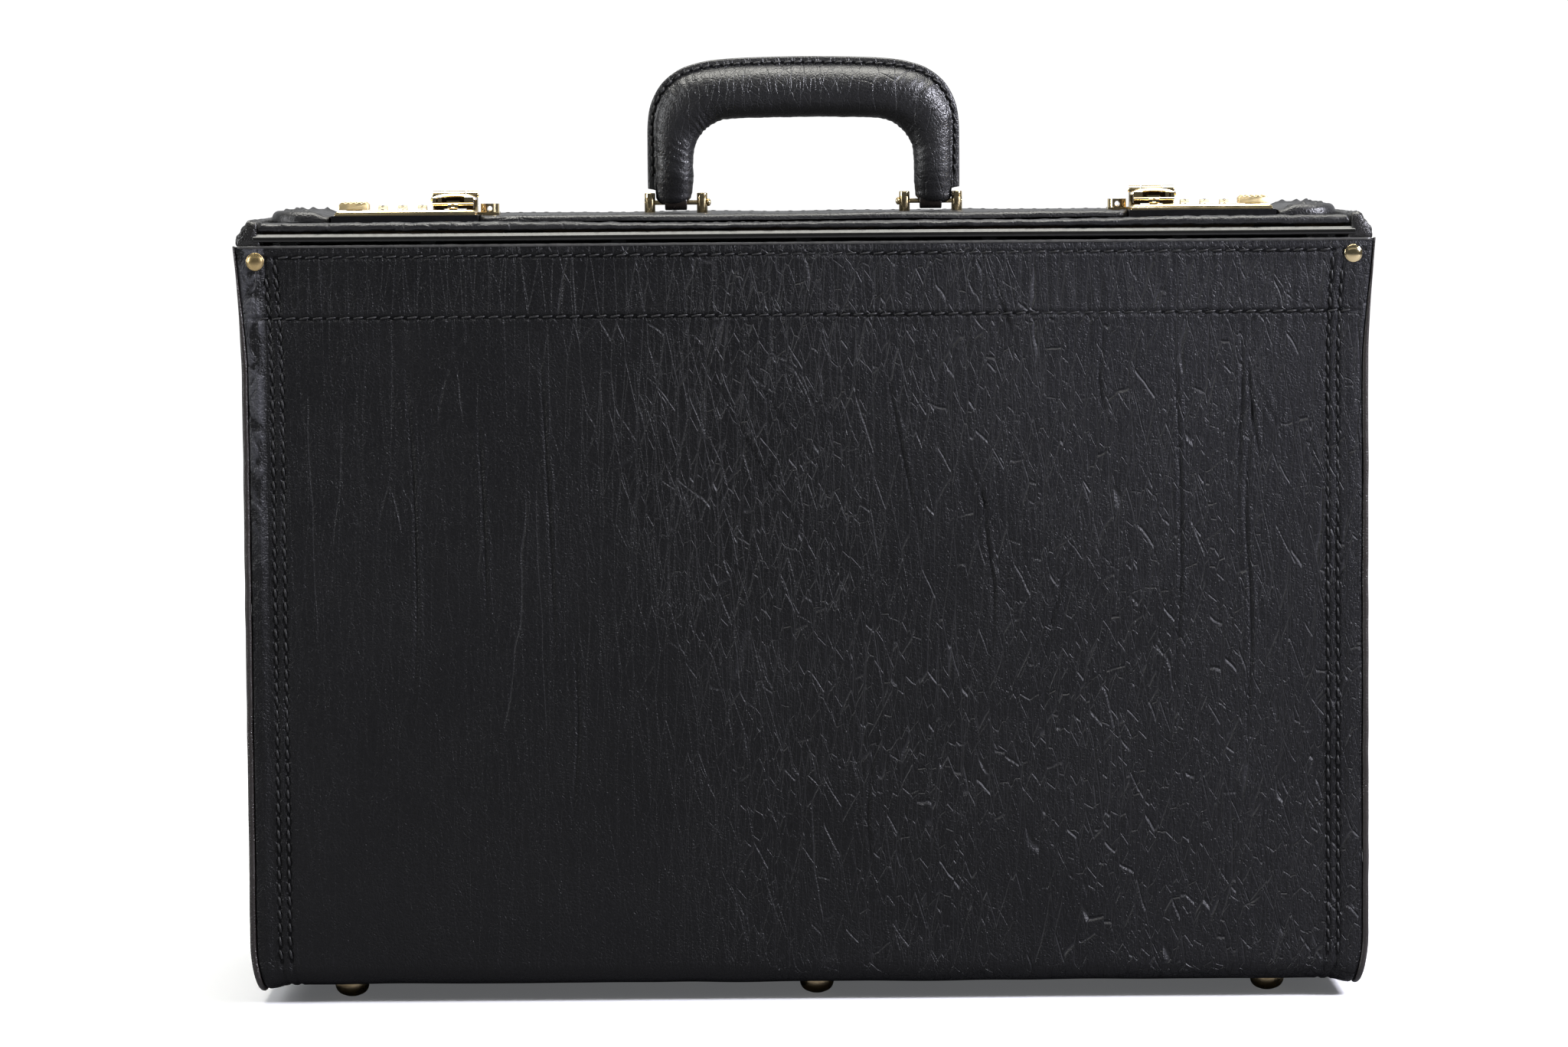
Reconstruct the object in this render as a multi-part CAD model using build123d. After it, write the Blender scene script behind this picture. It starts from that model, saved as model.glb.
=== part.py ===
from build123d import *
import os
from math import cos, sin, radians, sqrt

# ---------------------------------------------------------------------------
# Leather pilot case: box body, two top lids, a padded flap that carries the
# handle, and two three-dial combination locks with flip hasps.
# Millimetres. X along the length, Y from the front panel to the back panel,
# Z up, origin on the floor under the middle of the case.
# ---------------------------------------------------------------------------

# overall
HALF_W = 225.0          # half width of the wrap below the rim
HALF_TOP = 228.0        # half width of the wrap at the rim flare
HALF_D = 82.5           # half depth, outside of the leather
Z_BOT = 7.0             # underside of the wrap (feet lift it)
Z_PANEL = 305.0         # top edge of the front and back panels
FLARE_Z = 279.0         # where the rim flare starts
WRAP_T = 2.2
WRAP_R = 9.0            # outside bend radius along the bottom edges

# boards and side walls
BOARD_T = 3.0
GUSSET_X = 221.5        # outer face of the side walls
GUSSET_T = 1.8
SIDE_T = 3.0
LINING_T = 0.8
BOARD_TOP = 303.0

# rims
FRAME_X0 = 218.0        # inner face of the side frames beside the lids
FRAME_TOP = 315.3
RAIL_TOP = 305.2

# lid hinges: one long rod at the front and one at the back
ROD_R = 1.8
ROD_Y = 80.0
ROD_Z = 308.3
CLIP_GAP = 0.05
CLIP_T = 0.8
CLIP_W = 10.0
CLIP_X = (-188.0, -112.0, -36.0, 36.0, 112.0, 188.0)
SADDLE_X = (-206.0, -150.0, -74.0, 0.0, 74.0, 150.0, 206.0)

# lids
LID_X = 217.6
LID_GAP = 0.5           # half of the gap between the two lids
LID_Y_SPLIT = 10.0      # front lid ends, rear lid begins, in front of centre
FRONT_LID_TOP = 312.7
REAR_LID_TOP = 313.1
LID_LIP_TOP = 314.4

# flap
FLAP_HALF = 217.2
FLAP_Y = 43.0
FLAP_R = 36.0
FLAP_Z0 = 313.1
FLAP_Z1 = 316.2
FLAP_END_TOP = 319.6

# handle
PIV_Z = 320.4
LEG_X = 52.6
POST_X = (41.8, 63.4)
POST_R = 2.3
POST_TOP = 323.9
PIN_R = 1.0
GRIP_TOP = 380.4
GRIP_LOW = 355.4
OUT_X = 64.5
IN_X = 45.5

# locks (one each side, mirrored in X)
LOCK_X0, LOCK_X1 = 132.0, 193.4
LOCK_Y0, LOCK_Y1 = -46.0, -27.0
BODY_Z0, BODY_Z1 = 308.6, 316.4
PLATE_TOP = 318.5
DIAL_X = (155.0, 163.0, 171.0)
DIAL_Y, DIAL_Z, DIAL_R = -36.5, 315.0, 5.5
DIAL_W = 3.5
AXLE_R = 1.0
SLIDER_X = 182.7
HASP_X = 142.5
HASP_Y, HASP_Z = -20.0, 324.2

# feet and rivets
FEET_X = (-186.0, 3.0, 186.0)
FEET_Y = 58.0
FOOT_R = 7.0
RIVET_X, RIVET_Z, RIVET_R = 219.0, 299.0, 3.55

os.makedirs("parts", exist_ok=True)


def box(x0, x1, y0, y1, z0, z1):
    """Box from its limits on each axis, given in any order."""
    x0, x1 = sorted((x0, x1))
    y0, y1 = sorted((y0, y1))
    z0, z1 = sorted((z0, z1))
    return Pos((x0 + x1) / 2, (y0 + y1) / 2, (z0 + z1) / 2) * Box(x1 - x0, y1 - y0, z1 - z0)


def yz_bar(x0, x1, pts):
    """Polygon given as (y, z), extruded along X from x0 to x1."""
    x0, x1 = sorted((x0, x1))
    plane = Plane(origin=(x0, 0, 0), x_dir=(0, 1, 0), z_dir=(1, 0, 0))
    face = plane * make_face(Polyline([(y, z) for y, z in pts], close=True))
    return extrude(face, amount=x1 - x0, dir=(1, 0, 0))


def xz_bar(y0, y1, pts):
    """Polygon given as (x, z), extruded along Y from y0 to y1."""
    y0, y1 = sorted((y0, y1))
    plane = Plane(origin=(0, y0, 0), x_dir=(1, 0, 0), z_dir=(0, -1, 0))
    face = plane * make_face(Polyline([(x, z) for x, z in pts], close=True))
    return extrude(face, amount=y1 - y0, dir=(0, 1, 0))


def rod_x(x0, x1, y, z, r):
    x0, x1 = sorted((x0, x1))
    return Pos((x0 + x1) / 2, y, z) * Rot(0, 90, 0) * Cylinder(r, x1 - x0)


def rod_y(y0, y1, x, z, r):
    y0, y1 = sorted((y0, y1))
    return Pos(x, (y0 + y1) / 2, z) * Rot(90, 0, 0) * Cylinder(r, y1 - y0)


def rod_z(z0, z1, x, y, r):
    return Pos(x, y, (z0 + z1) / 2) * Cylinder(r, z1 - z0)


def arc_pts(cx, cz, rx, rz, a0, a1, n):
    return [(cx + rx * cos(radians(a0 + (a1 - a0) * i / n)),
             cz + rz * sin(radians(a0 + (a1 - a0) * i / n))) for i in range(n + 1)]


def u_section(off):
    """Outline of the case from the side, inset by off, as a closed (y, z) list."""
    r = WRAP_R - off
    d, z0 = HALF_D - off, Z_BOT + off
    left = arc_pts(-d + r, z0 + r, r, r, 180, 270, 8)
    right = arc_pts(d - r, z0 + r, r, r, 270, 360, 8)
    return d, left + right


def write(name, *solids):
    """One node's solids, as one STEP file."""
    out = []
    for s in solids:
        out += list(s.solids())
    shape = out[0] if len(out) == 1 else Compound(children=out)
    shape.label = name
    export_step(shape, "parts/" + name + ".step")


def m(s, side):
    """The solid itself for the right side (+1), mirrored for the left (-1)."""
    return s if side > 0 else mirror(s, about=Plane.YZ)


def sweep_x(off, z_top, x0, x1):
    """The filled side outline inset by off, from x0 to x1, up to z_top."""
    d, pts = u_section(off)
    return yz_bar(x0, x1, [(-d, z_top)] + pts + [(d, z_top)])


# ---------------------------------------------------------------------------
# case body: wrap, side walls, boards, lining
# ---------------------------------------------------------------------------
# the silhouette seen from the front: straight sides, a small flare at the rim
# and softly rounded bottom corners
sil_r = [(HALF_TOP, Z_PANEL + 2), (HALF_TOP, Z_PANEL - 2), (HALF_TOP - 1.3, 296.0),
         (HALF_W + 0.4, 287.0), (HALF_W, FLARE_Z)]
sil_r += arc_pts(HALF_W - 6.0, Z_BOT + 19.0, 6.0, 19.0, 0, -78, 8)
sil_r += [(HALF_W - 7.5, Z_BOT - 1)]
sil = sil_r + [(-x, z) for x, z in reversed(sil_r)]
silhouette = xz_bar(-90, 90, sil)

outer = sweep_x(0.0, Z_PANEL, -HALF_TOP, HALF_TOP)
hollow = sweep_x(WRAP_T, Z_PANEL + 5, -HALF_TOP - 5, HALF_TOP + 5)
wrap = (outer - hollow) & silhouette

rivet_cut = []
for sx in (-1, 1):
    for sy in (-1, 1):
        rivet_cut.append(rod_y(sy * (HALF_D + 1), sy * (HALF_D - 9.0), sx * RIVET_X, RIVET_Z, 1.4))

foot_holes = [rod_z(Z_BOT - 1, 13.0, x, y, 1.6) for x in FEET_X for y in (-FEET_Y, FEET_Y)]
for c in rivet_cut + foot_holes:
    wrap = wrap - c
write("outer_wrap", wrap)

gusset_out, side_in, line_in = GUSSET_X, GUSSET_X - GUSSET_T, GUSSET_X - GUSSET_T - SIDE_T
for side, tag in ((-1, "left"), (1, "right")):
    g = sweep_x(WRAP_T, BOARD_TOP, side * side_in, side * gusset_out)
    b = sweep_x(WRAP_T, BOARD_TOP, side * line_in, side * side_in)
    for c in rivet_cut:
        g = g - c
        b = b - c
    write("side_gusset_" + tag, g)
    write("side_board_" + tag, b)
    # piping that follows the wrap's edge just outside the side wall
    rim = (sweep_x(WRAP_T, 302.0, side * (GUSSET_X), side * (GUSSET_X + 2.4))
           - sweep_x(WRAP_T + 2.4, 310.0, side * (GUSSET_X - 1), side * (GUSSET_X + 4)))
    sil_in = [(x - 0.2, z) for x, z in sil_r]
    rim = rim & xz_bar(-90, 90, sil_in + [(-x, z) for x, z in reversed(sil_in)])
    write("rim_bead_" + tag, rim)

ya = HALF_D - WRAP_T
yb = ya - BOARD_T
zb = Z_BOT + WRAP_T
flat = WRAP_R - WRAP_T
write("front_board", box(-line_in, line_in, -ya, -yb, zb + flat, BOARD_TOP))
write("back_board", box(-line_in, line_in, yb, ya, zb + flat, BOARD_TOP))
bottom = box(-line_in, line_in, -(ya - flat), ya - flat, zb, zb + BOARD_T)
for c in foot_holes:
    bottom = bottom - c
write("bottom_board", bottom)

lz0 = zb + BOARD_T
ly = yb - 1.5
lx = line_in
wall = []
wall.append(box(-lx, lx, -yb, -yb + LINING_T, lz0 + LINING_T, 279.0))
wall.append(box(-lx, lx, yb - LINING_T, yb, lz0 + LINING_T, 279.0))
wall.append(box(-lx, -lx + LINING_T, -yb + LINING_T, yb - LINING_T, lz0 + LINING_T, 300.0))
wall.append(box(lx - LINING_T, lx, -yb + LINING_T, yb - LINING_T, lz0 + LINING_T, 300.0))
wall = wall[0] + wall[1] + wall[2] + wall[3]
floor_panel = box(-lx, lx, -(ya - flat), ya - flat, lz0, lz0 + LINING_T)
for x in FEET_X:
    for y in (-FEET_Y, FEET_Y):
        floor_panel = floor_panel - rod_z(lz0 - 1, lz0 + 2, x, y, 5.6)
write("wall_lining", wall)
write("floor_lining", floor_panel)

# ---------------------------------------------------------------------------
# rims: rails along the front and back, side frames, corner blocks, hinge rods
# ---------------------------------------------------------------------------
for sy, tag in ((-1, "front"), (1, "rear")):
    rail_x = line_in - LINING_T
    rail = box(-rail_x, rail_x, sy * yb, sy * (yb - 1.6), 279.0, RAIL_TOP)
    rail = rail + box(-line_in, line_in, sy * yb, sy * (ya - 0.0), BOARD_TOP, RAIL_TOP)
    for x in SADDLE_X:
        post = box(x - 3, x + 3, sy * (ROD_Y - 2.0), sy * (ROD_Y + 0.3), RAIL_TOP - 0.5, ROD_Z)
        rail = rail + post
    rail = rail - rod_x(-240, 240, sy * ROD_Y, ROD_Z, ROD_R)
    for sx in (-1, 1):
        rail = rail - rod_y(sy * (HALF_D + 1), sy * (HALF_D - 9.0), sx * RIVET_X, RIVET_Z, 1.45)
    write("frame_rail_" + tag, rail)
    write("hinge_rod_" + tag, rod_x(-220, 220, sy * ROD_Y, ROD_Z, ROD_R))

frame_pts = [(line_in, BOARD_TOP), (line_in, 307.2), (FRAME_X0, 307.2), (FRAME_X0, FRAME_TOP - 0.8),
             (FRAME_X0 + 0.8, FRAME_TOP), (FRAME_X0 + 3.8, FRAME_TOP), (226.6, 309.6), (227.4, 308.4),
             (227.4, Z_PANEL), (226.6, 303.6), (224.5, BOARD_TOP)]
CAP_Y = 62.0
caps = []
for side, tag in ((-1, "left"), (1, "right")):
    pts = [(side * x, z) for x, z in frame_pts]
    full = xz_bar(-ya, ya, pts)
    # the corner blocks step out over the panel's top edge
    over = xz_bar(-HALF_D + 0.1, HALF_D - 0.1, [(side * x, z) for x, z in
                  [(FRAME_X0, Z_PANEL)] + frame_pts[2:8] + [(227.4, Z_PANEL)]])
    frame = full & box(-300, 300, -CAP_Y, CAP_Y, 290, 330)
    # ledge that the ends of the lids come down to
    frame = frame + box(side * 213.6, side * FRAME_X0, -CAP_Y, CAP_Y, BOARD_TOP, 309.4)
    write("side_frame_" + tag, frame)
    for sy, ftag in ((-1, "front"), (1, "rear")):
        cap = (full + over) & box(-300, 300, sy * CAP_Y, sy * 90, 290, 330)
        cap = cap - rod_x(-220, 220, sy * ROD_Y, ROD_Z, ROD_R)
        caps.append(cap)
write("corner_caps", *caps)

rivets = []
for sx in (-1, 1):
    for sy in (-1, 1):
        shank = rod_y(sy * HALF_D, sy * (HALF_D - 8.0), sx * RIVET_X, RIVET_Z, 1.4)
        rr, hh = RIVET_R, 1.5
        rad = (rr * rr + hh * hh) / (2 * hh)
        ball = Pos(sx * RIVET_X, sy * (HALF_D + hh - rad), RIVET_Z) * Sphere(rad)
        head = ball & box(-300, 300, sy * HALF_D, sy * (HALF_D + 5), 280, 310)
        rivets.append(shank + head)
write("corner_rivets", *rivets)

feet, washers = [], []
for x in FEET_X:
    for y in (-FEET_Y, FEET_Y):
        dome = Pos(x, y, Z_BOT) * Sphere(FOOT_R)
        dome = dome & box(x - 20, x + 20, y - 20, y + 20, 0.35, Z_BOT)
        dome = Pos(0, 0, -0.35) * dome
        dome = dome + rod_z(Z_BOT - 0.36, Z_BOT, x, y, FOOT_R)
        stud = rod_z(Z_BOT - 1, lz0 + 1.6, x, y, 1.6)
        feet.append(dome + stud)
        washers.append(rod_z(lz0, lz0 + 1.0, x, y, 5.5) - rod_z(lz0 - 1, lz0 + 2, x, y, 1.6))
write("feet", *feet)
write("foot_washers", *washers)

# ---------------------------------------------------------------------------
# lids
# ---------------------------------------------------------------------------
def lock_cut(grow=0.0, z0=300.0, z1=330.0):
    return [box(s * (LOCK_X0 - grow), s * (LOCK_X1 + grow), LOCK_Y0 - grow, LOCK_Y1 + grow, z0, z1)
            for s in (-1, 1)]


FY_F = -LID_Y_SPLIT - LID_GAP          # free edge of the front lid
FY_R = -LID_Y_SPLIT + LID_GAP          # free edge of the rear lid

for sy, tag, edge, top in ((-1, "front", FY_F, FRONT_LID_TOP), (1, "rear", FY_R, REAR_LID_TOP)):
    b0, b1 = 309.8, top - 1.0
    board = box(-LID_X + 1.4, LID_X - 1.4, sy * 77.0, edge + sy * 1.2, b0, b1)
    cover = yz_bar(-LID_X, LID_X, [(sy * 81.3, 311.2), (sy * 81.5, 312.6), (sy * 81.0, 313.9),
                                   (sy * 79.8, LID_LIP_TOP), (sy * 77.4, LID_LIP_TOP - 0.1),
                                   (sy * 73.5, top), (edge, top), (edge, b0), (edge + sy * 1.2, b0),
                                   (edge + sy * 1.2, b1), (sy * 77.0, b1), (sy * 77.0, 311.0),
                                   (sy * 80.6, 311.0)])
    # the cover is turned down over the two ends of the board
    for s in (-1, 1):
        cover = cover + box(s * (LID_X - 1.4), s * LID_X, sy * 77.0, edge, b0, b1)
    lining = box(-LID_X + 5, LID_X - 5, sy * 71.0, edge + sy * 0.2, b0 - LINING_T, b0)
    clips = []
    for x in CLIP_X:
        ri, ro = ROD_R + CLIP_GAP, ROD_R + CLIP_GAP + CLIP_T
        ring = rod_x(x - CLIP_W / 2, x + CLIP_W / 2, sy * ROD_Y, ROD_Z, ro) \
            - rod_x(x - CLIP_W, x + CLIP_W, sy * ROD_Y, ROD_Z, ri)
        # open towards the outside of the case, from just under the rod upwards
        ring = ring - yz_bar(x - CLIP_W, x + CLIP_W, [(sy * ROD_Y, ROD_Z), (sy * (ROD_Y + 2.2), ROD_Z + 8),
                                                     (sy * (ROD_Y + 9), ROD_Z + 8), (sy * (ROD_Y + 9), ROD_Z - 8),
                                                     (sy * (ROD_Y + 1.2), ROD_Z - 8)])
        # tongue from the back of the ring up and in under the board
        leaf = box(x - CLIP_W / 2, x + CLIP_W / 2, sy * (ROD_Y - ri - 0.1), sy * 71.4, b0 - CLIP_T, b0)
        leaf = leaf - rod_x(x - CLIP_W, x + CLIP_W, sy * ROD_Y, ROD_Z, ri)
        clips.append(ring + leaf)
    if sy < 0:
        for c in lock_cut(0.0):
            board = board - c
            cover = cover - c
            lining = lining - c
    write("lid_board_" + tag, board)
    write("lid_cover_" + tag, cover)
    write("lid_lining_" + tag, lining)
    write("hinge_clips_" + tag, *clips)

# ---------------------------------------------------------------------------
# flap, on the rear lid and lying over the front lid
# ---------------------------------------------------------------------------
flap2d = Rectangle(2 * FLAP_HALF, 2 * FLAP_Y)
flap2d = fillet(flap2d.vertices(), FLAP_R)
flap = Pos(0, 0, FLAP_Z0) * extrude(flap2d, amount=FLAP_Z1 - FLAP_Z0)
# stuffed ends, a little higher than the middle
puff2d = offset(flap2d, amount=-3.0)
for s in (-1, 1):
    puff = Pos(0, 0, FLAP_Z1 - 0.5) * extrude(puff2d, amount=FLAP_END_TOP - FLAP_Z1 + 0.5, taper=22)
    puff = puff & box(s * 198.0, s * 218.0, -60, 60, 300, 330)
    flap = flap + puff
for s in (-1, 1):
    flap = flap - box(s * (LOCK_X0 - 0.8), s * (LOCK_X1 + 0.8), -60, LOCK_Y1 + 0.8, 300, 330)
post_holes = [(s * x) for s in (-1, 1) for x in POST_X]
for x in post_holes:
    flap = flap - rod_z(300, 330, x, 0, 1.5)

# ---------------------------------------------------------------------------
# handle hardware
# ---------------------------------------------------------------------------
posts = []
for x in post_holes:
    p = rod_z(FLAP_Z1, POST_TOP, x, 0, POST_R) + rod_z(FLAP_Z1, FLAP_Z1 + 0.8, x, 0, 3.6)
    p = p + rod_z(309.0, FLAP_Z1 + 0.1, x, 0, 1.5)
    p = p - rod_x(x - 10, x + 10, 0, PIV_Z, PIN_R)
    posts.append(p)
write("handle_posts", *posts)

plates = []
for s in (-1, 1):
    pl = box(s * 36.0, s * 71.0, -7.0, 7.0, 308.2, 309.0)
    plates.append(pl)
write("handle_backing_plates", *plates)

pins = []
for s in (-1, 1):
    pin = rod_x(s * (POST_X[0] - POST_R - 0.2), s * (POST_X[1] + POST_R + 0.6), 0, PIV_Z, PIN_R)
    head = Pos(s * (POST_X[0] - POST_R), 0, PIV_Z) * Sphere(2.2)
    head = head & box(s * (POST_X[0] - POST_R), s * (POST_X[0] - POST_R - 4), -5, 5, 310, 330)
    pins.append(pin + head)
write("handle_pins", *pins)

# holes for the posts through the rear lid
import_cut = [rod_z(309.0, 320, x, 0, 1.5) for x in post_holes]
plate_cut = [box(s * 36.0, s * 71.0, -7.0, 7.0, 308.2, 309.0) for s in (-1, 1)]

# ---------------------------------------------------------------------------
# handle: brass eyes, core, and the leather cover in three pieces that meet
# ---------------------------------------------------------------------------
eyes = []
for s in (-1, 1):
    eye = rod_x(s * LEG_X - 4.55, s * LEG_X + 4.55, 0, PIV_Z, 3.2)
    eye = eye + box(s * LEG_X - 4.55, s * LEG_X + 4.55, -1.6, 1.6, PIV_Z, PIV_Z + 14.0)
    eye = eye - rod_x(s * LEG_X - 10, s * LEG_X + 10, 0, PIV_Z, PIN_R + 0.06)
    eyes.append(eye)
write("handle_eyes", *eyes)

# outline of the whole handle seen from the front: an arch with soft shoulders
def arch(out_x, top, shoulder, low, in_x, under, in_r):
    """Closed (x, z) outline of the arch, right half first then mirrored."""
    r = arc_pts(out_x - shoulder, top - shoulder * 0.92, shoulder, shoulder * 0.92, 90, 0, 8)
    r += [(out_x, low + 10), (out_x - 1.6, low + 4), (out_x - 6.3, low)]
    r += [(in_x + 3.2, low), (in_x + 1.0, low + 4), (in_x, low + 10)]
    r += arc_pts(in_x - in_r, under - in_r * 0.8, in_r, in_r * 0.8, 0, 90, 8)
    return r + [(-x, z) for x, z in reversed(r)]


LEG_LOW = PIV_Z + 3.6
cover2d = arch(OUT_X, GRIP_TOP, 19.0, LEG_LOW, IN_X, GRIP_LOW, 13.0)
solid = xz_bar(-30, 30, cover2d)
# depth profile: legs widen from the eyes up to the grip
side_pts = [(4.3, LEG_LOW), (7.0, LEG_LOW + 9), (7.6, LEG_LOW + 16), (9.2, 352.0), (10.4, 359.0),
            (10.4, 369.0), (8.2, 374.5), (2.4, 377.2), (2.0, GRIP_TOP)]
side_prof = yz_bar(-100, 100, side_pts + [(-y, z) for y, z in reversed(side_pts)])
solid = solid & side_prof
# the leg's outer edge thins to the stitched welt
cx0, cx1 = LEG_X - 4.8, LEG_X + 4.8
core_r = arc_pts(cx1 - 14.0, GRIP_TOP - 20.0, 14.0, 12.0, 90, 0, 6)
core_r += [(cx1, LEG_LOW + 6.0), (cx0, LEG_LOW + 6.0)]
core_r += arc_pts(cx0 - 9.0, GRIP_LOW - 1.0, 9.0, 7.0, 0, 90, 6)
core2d = core_r + [(-x, z) for x, z in reversed(core_r)]
core = xz_bar(-3.2, 3.2, core2d)
for s in (-1, 1):
    tongue = box(s * LEG_X - 4.55, s * LEG_X + 4.55, -1.6, 1.6, PIV_Z, PIV_Z + 14.0)
    core = core - tongue
    solid = solid - tongue
solid = solid - xz_bar(-3.2, 3.2, core2d)
write("handle_core", core)
write("handle_cover", solid)

# ---------------------------------------------------------------------------
# combination locks
# ---------------------------------------------------------------------------
bracket_cuts, hpins, tacks, axles = [], [], [], []
for side, tag in ((-1, "left"), (1, "right")):
    # body: black tray let into the front lid
    body = box(LOCK_X0, LOCK_X1, LOCK_Y0, LOCK_Y1, BODY_Z0, BODY_Z1)
    wells = []
    for x in DIAL_X:
        w = rod_x(x - DIAL_W / 2 - 0.35, x + DIAL_W / 2 + 0.35, DIAL_Y, DIAL_Z, DIAL_R + 0.4)
        wells.append(w)
        body = body - w - box(x - DIAL_W / 2 - 0.35, x + DIAL_W / 2 + 0.35,
                              DIAL_Y - DIAL_R - 0.4, DIAL_Y + DIAL_R + 0.4, DIAL_Z, 330)
    body = body - rod_x(150.0, 176.0, DIAL_Y, DIAL_Z, AXLE_R)
    # pocket for the slider's foot and its return spring
    body = body - box(176.9, 192.0, -41.0, -32.0, 312.4, 330)
    axle = rod_x(150.0, 176.0, DIAL_Y, DIAL_Z, AXLE_R)
    write("lock_body_" + tag, m(body, side))
    axles.append(m(axle, side))

    plate = xz_bar(LOCK_Y0 + 1.2, LOCK_Y1 - 1.2,
                   [(132.8, BODY_Z1), (133.2, 317.6), (134.6, PLATE_TOP), (190.2, PLATE_TOP), (191.8, 317.6),
                    (192.2, BODY_Z1)])
    for x in DIAL_X:
        plate = plate - box(x - DIAL_W / 2 - 0.35, x + DIAL_W / 2 + 0.35,
                            DIAL_Y - DIAL_R - 0.4, DIAL_Y + DIAL_R + 0.4, 300, 330)
    # slot for the slider's stem
    plate = plate - box(SLIDER_X - 3.0 - 0.4, SLIDER_X + 3.0 + 4.4, -38.5, -34.5, 300, 330)
    # catch: a T-headed post the hasp drops over
    post = box(HASP_X - 1.6, HASP_X + 1.6, -36.4, -34.8, PLATE_TOP - 0.2, 322.0)
    post = post + box(HASP_X - 2.6, HASP_X + 2.6, -36.4, -34.8, 321.0, 322.2)
    plate = plate + post
    write("lock_plate_" + tag, m(plate, side))

    # slider: ribbed thumb piece, stem and foot, with its coil spring's guide
    knob = xz_bar(-41.5, -31.5, [(176.7, 318.85), (176.7, 321.0), (177.9, 322.0), (187.5, 322.0),
                                 (188.7, 321.0), (188.7, 318.85)])
    for i in range(4):
        gx = 179.3 + 2.2 * i
        knob = knob - box(gx - 0.4, gx + 0.4, -45, -25, 321.5, 323)
    stem = box(SLIDER_X - 3.0, SLIDER_X + 3.0, -38.1, -34.9, 315.0, 319.0)
    foot = box(177.4, 187.2, -40.0, -33.0, 313.0, 316.0)
    write("slider_" + tag, m(knob + stem + foot, side))

    # dials: ten flats
    for i, x in enumerate(DIAL_X):
        wheel = rod_x(x - DIAL_W / 2, x + DIAL_W / 2, DIAL_Y, DIAL_Z, DIAL_R)
        wheel = wheel - rod_x(x - 5, x + 5, DIAL_Y, DIAL_Z, AXLE_R + 0.05)
        for k in range(10):
            a = radians(36 * k + 18)
            wheel = wheel - rod_x(x - 5, x + 5, DIAL_Y + DIAL_R * cos(a) * 1.04,
                                  DIAL_Z + DIAL_R * sin(a) * 1.04, 0.45)
        write("dial_%s_%d" % (tag, i + 1), m(wheel, side))

    # bracket on the flap: base, two knuckles and the rounded ear at the inner side
    base = box(131.5, 153.0, -25.6, -12.0, FLAP_Z1, FLAP_Z1 + 1.2)
    base = base + box(124.5, 132.0, -25.6, -12.0, FLAP_Z1, FLAP_Z1 + 1.2)
    for x0, x1 in ((133.4, 137.9), (147.1, 151.6)):
        cheek = yz_bar(x0, x1, [(-23.0, FLAP_Z1 + 0.6), (-14.0, FLAP_Z1 + 0.6), (-18.2, HASP_Z), (-21.8, HASP_Z)])
        base = base + cheek + rod_x(x0, x1, HASP_Y, HASP_Z, 1.9)
    ear = rod_z(FLAP_Z1 + 1.0, FLAP_Z1 + 4.6, 128.3, -22.0, 3.8) - rod_y(-30, -10, 128.3, FLAP_Z1 + 2.6, 1.1)
    base = base + ear
    base = base - rod_x(130, 156, HASP_Y, HASP_Z, 0.75)
    for hx in (128.3, 142.5):
        base = base - rod_z(300, 330, hx, -15.0, 0.8)
    write("hasp_bracket_" + tag, m(base, side))
    hpin = rod_x(133.0, 152.0, HASP_Y, HASP_Z, 0.75)
    hpins.append(m(hpin, side))
    for hx in (128.3, 142.5):
        tk = rod_z(314.2, FLAP_Z1 + 1.2, hx, -15.0, 0.8) + rod_z(FLAP_Z1 + 1.2, FLAP_Z1 + 1.9, hx, -15.0, 1.3)
        bracket_cuts.append(m(rod_z(314.2, 330, hx, -15.0, 0.8), side))
        tacks.append(m(tk, side))

    # hasp: knuckle, arched strap with a window, nose in front of the catch
    hx0, hx1 = HASP_X - 4.3 + 0.05, HASP_X + 4.3 - 0.05
    knuckle = rod_x(hx0, hx1, HASP_Y, HASP_Z, 1.9)
    strap = yz_bar(HASP_X - 9.1, HASP_X + 9.1,
                   [(-22.6, 325.9), (-30.0, 326.1), (-35.0, 325.2), (-38.6, 322.6), (-40.2, 320.4),
                    (-38.6, 320.4), (-37.4, 322.0), (-34.4, 324.1), (-30.0, 324.9), (-22.6, 324.7)])
    neck = box(hx0, hx1, -24.0, HASP_Y, 324.7, 325.9)
    window = box(HASP_X - 5.4, HASP_X + 5.4, -37.6, -29.0, 322.4, 330)
    hasp = strap + neck + knuckle - window
    hasp = hasp - rod_x(130, 156, HASP_Y, HASP_Z, 0.80)
    write("hasp_" + tag, m(hasp, side))

write("hasp_pins", *hpins)
write("hasp_rivets", *tacks)
write("dial_axles", *axles)
for c in bracket_cuts:
    flap = flap - c
write("top_flap", flap)

# the rear lid again, with the handle's post holes
b0, b1 = 309.8, REAR_LID_TOP - 1.0
board = box(-LID_X + 1.4, LID_X - 1.4, 77.0, FY_R + 1.2, b0, b1)
cover = yz_bar(-LID_X, LID_X, [(81.3, 311.2), (81.5, 312.6), (81.0, 313.9), (79.8, LID_LIP_TOP),
                               (77.4, LID_LIP_TOP - 0.1), (73.5, REAR_LID_TOP), (FY_R, REAR_LID_TOP),
                               (FY_R, b0), (FY_R + 1.2, b0), (FY_R + 1.2, b1), (77.0, b1), (77.0, 311.0),
                               (80.6, 311.0)])
for s in (-1, 1):
    cover = cover + box(s * (LID_X - 1.4), s * LID_X, 77.0, FY_R, b0, b1)
lining = box(-LID_X + 5, LID_X - 5, 71.0, FY_R + 0.2, b0 - LINING_T, b0)
for c in import_cut:
    board = board - c
    cover = cover - c
    lining = lining - c
write("lid_board_rear", board)
write("lid_cover_rear", cover)
write("lid_lining_rear", lining)
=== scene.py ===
import math
import bpy
import bmesh
import numpy as np
from mathutils import Vector, Matrix


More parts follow.
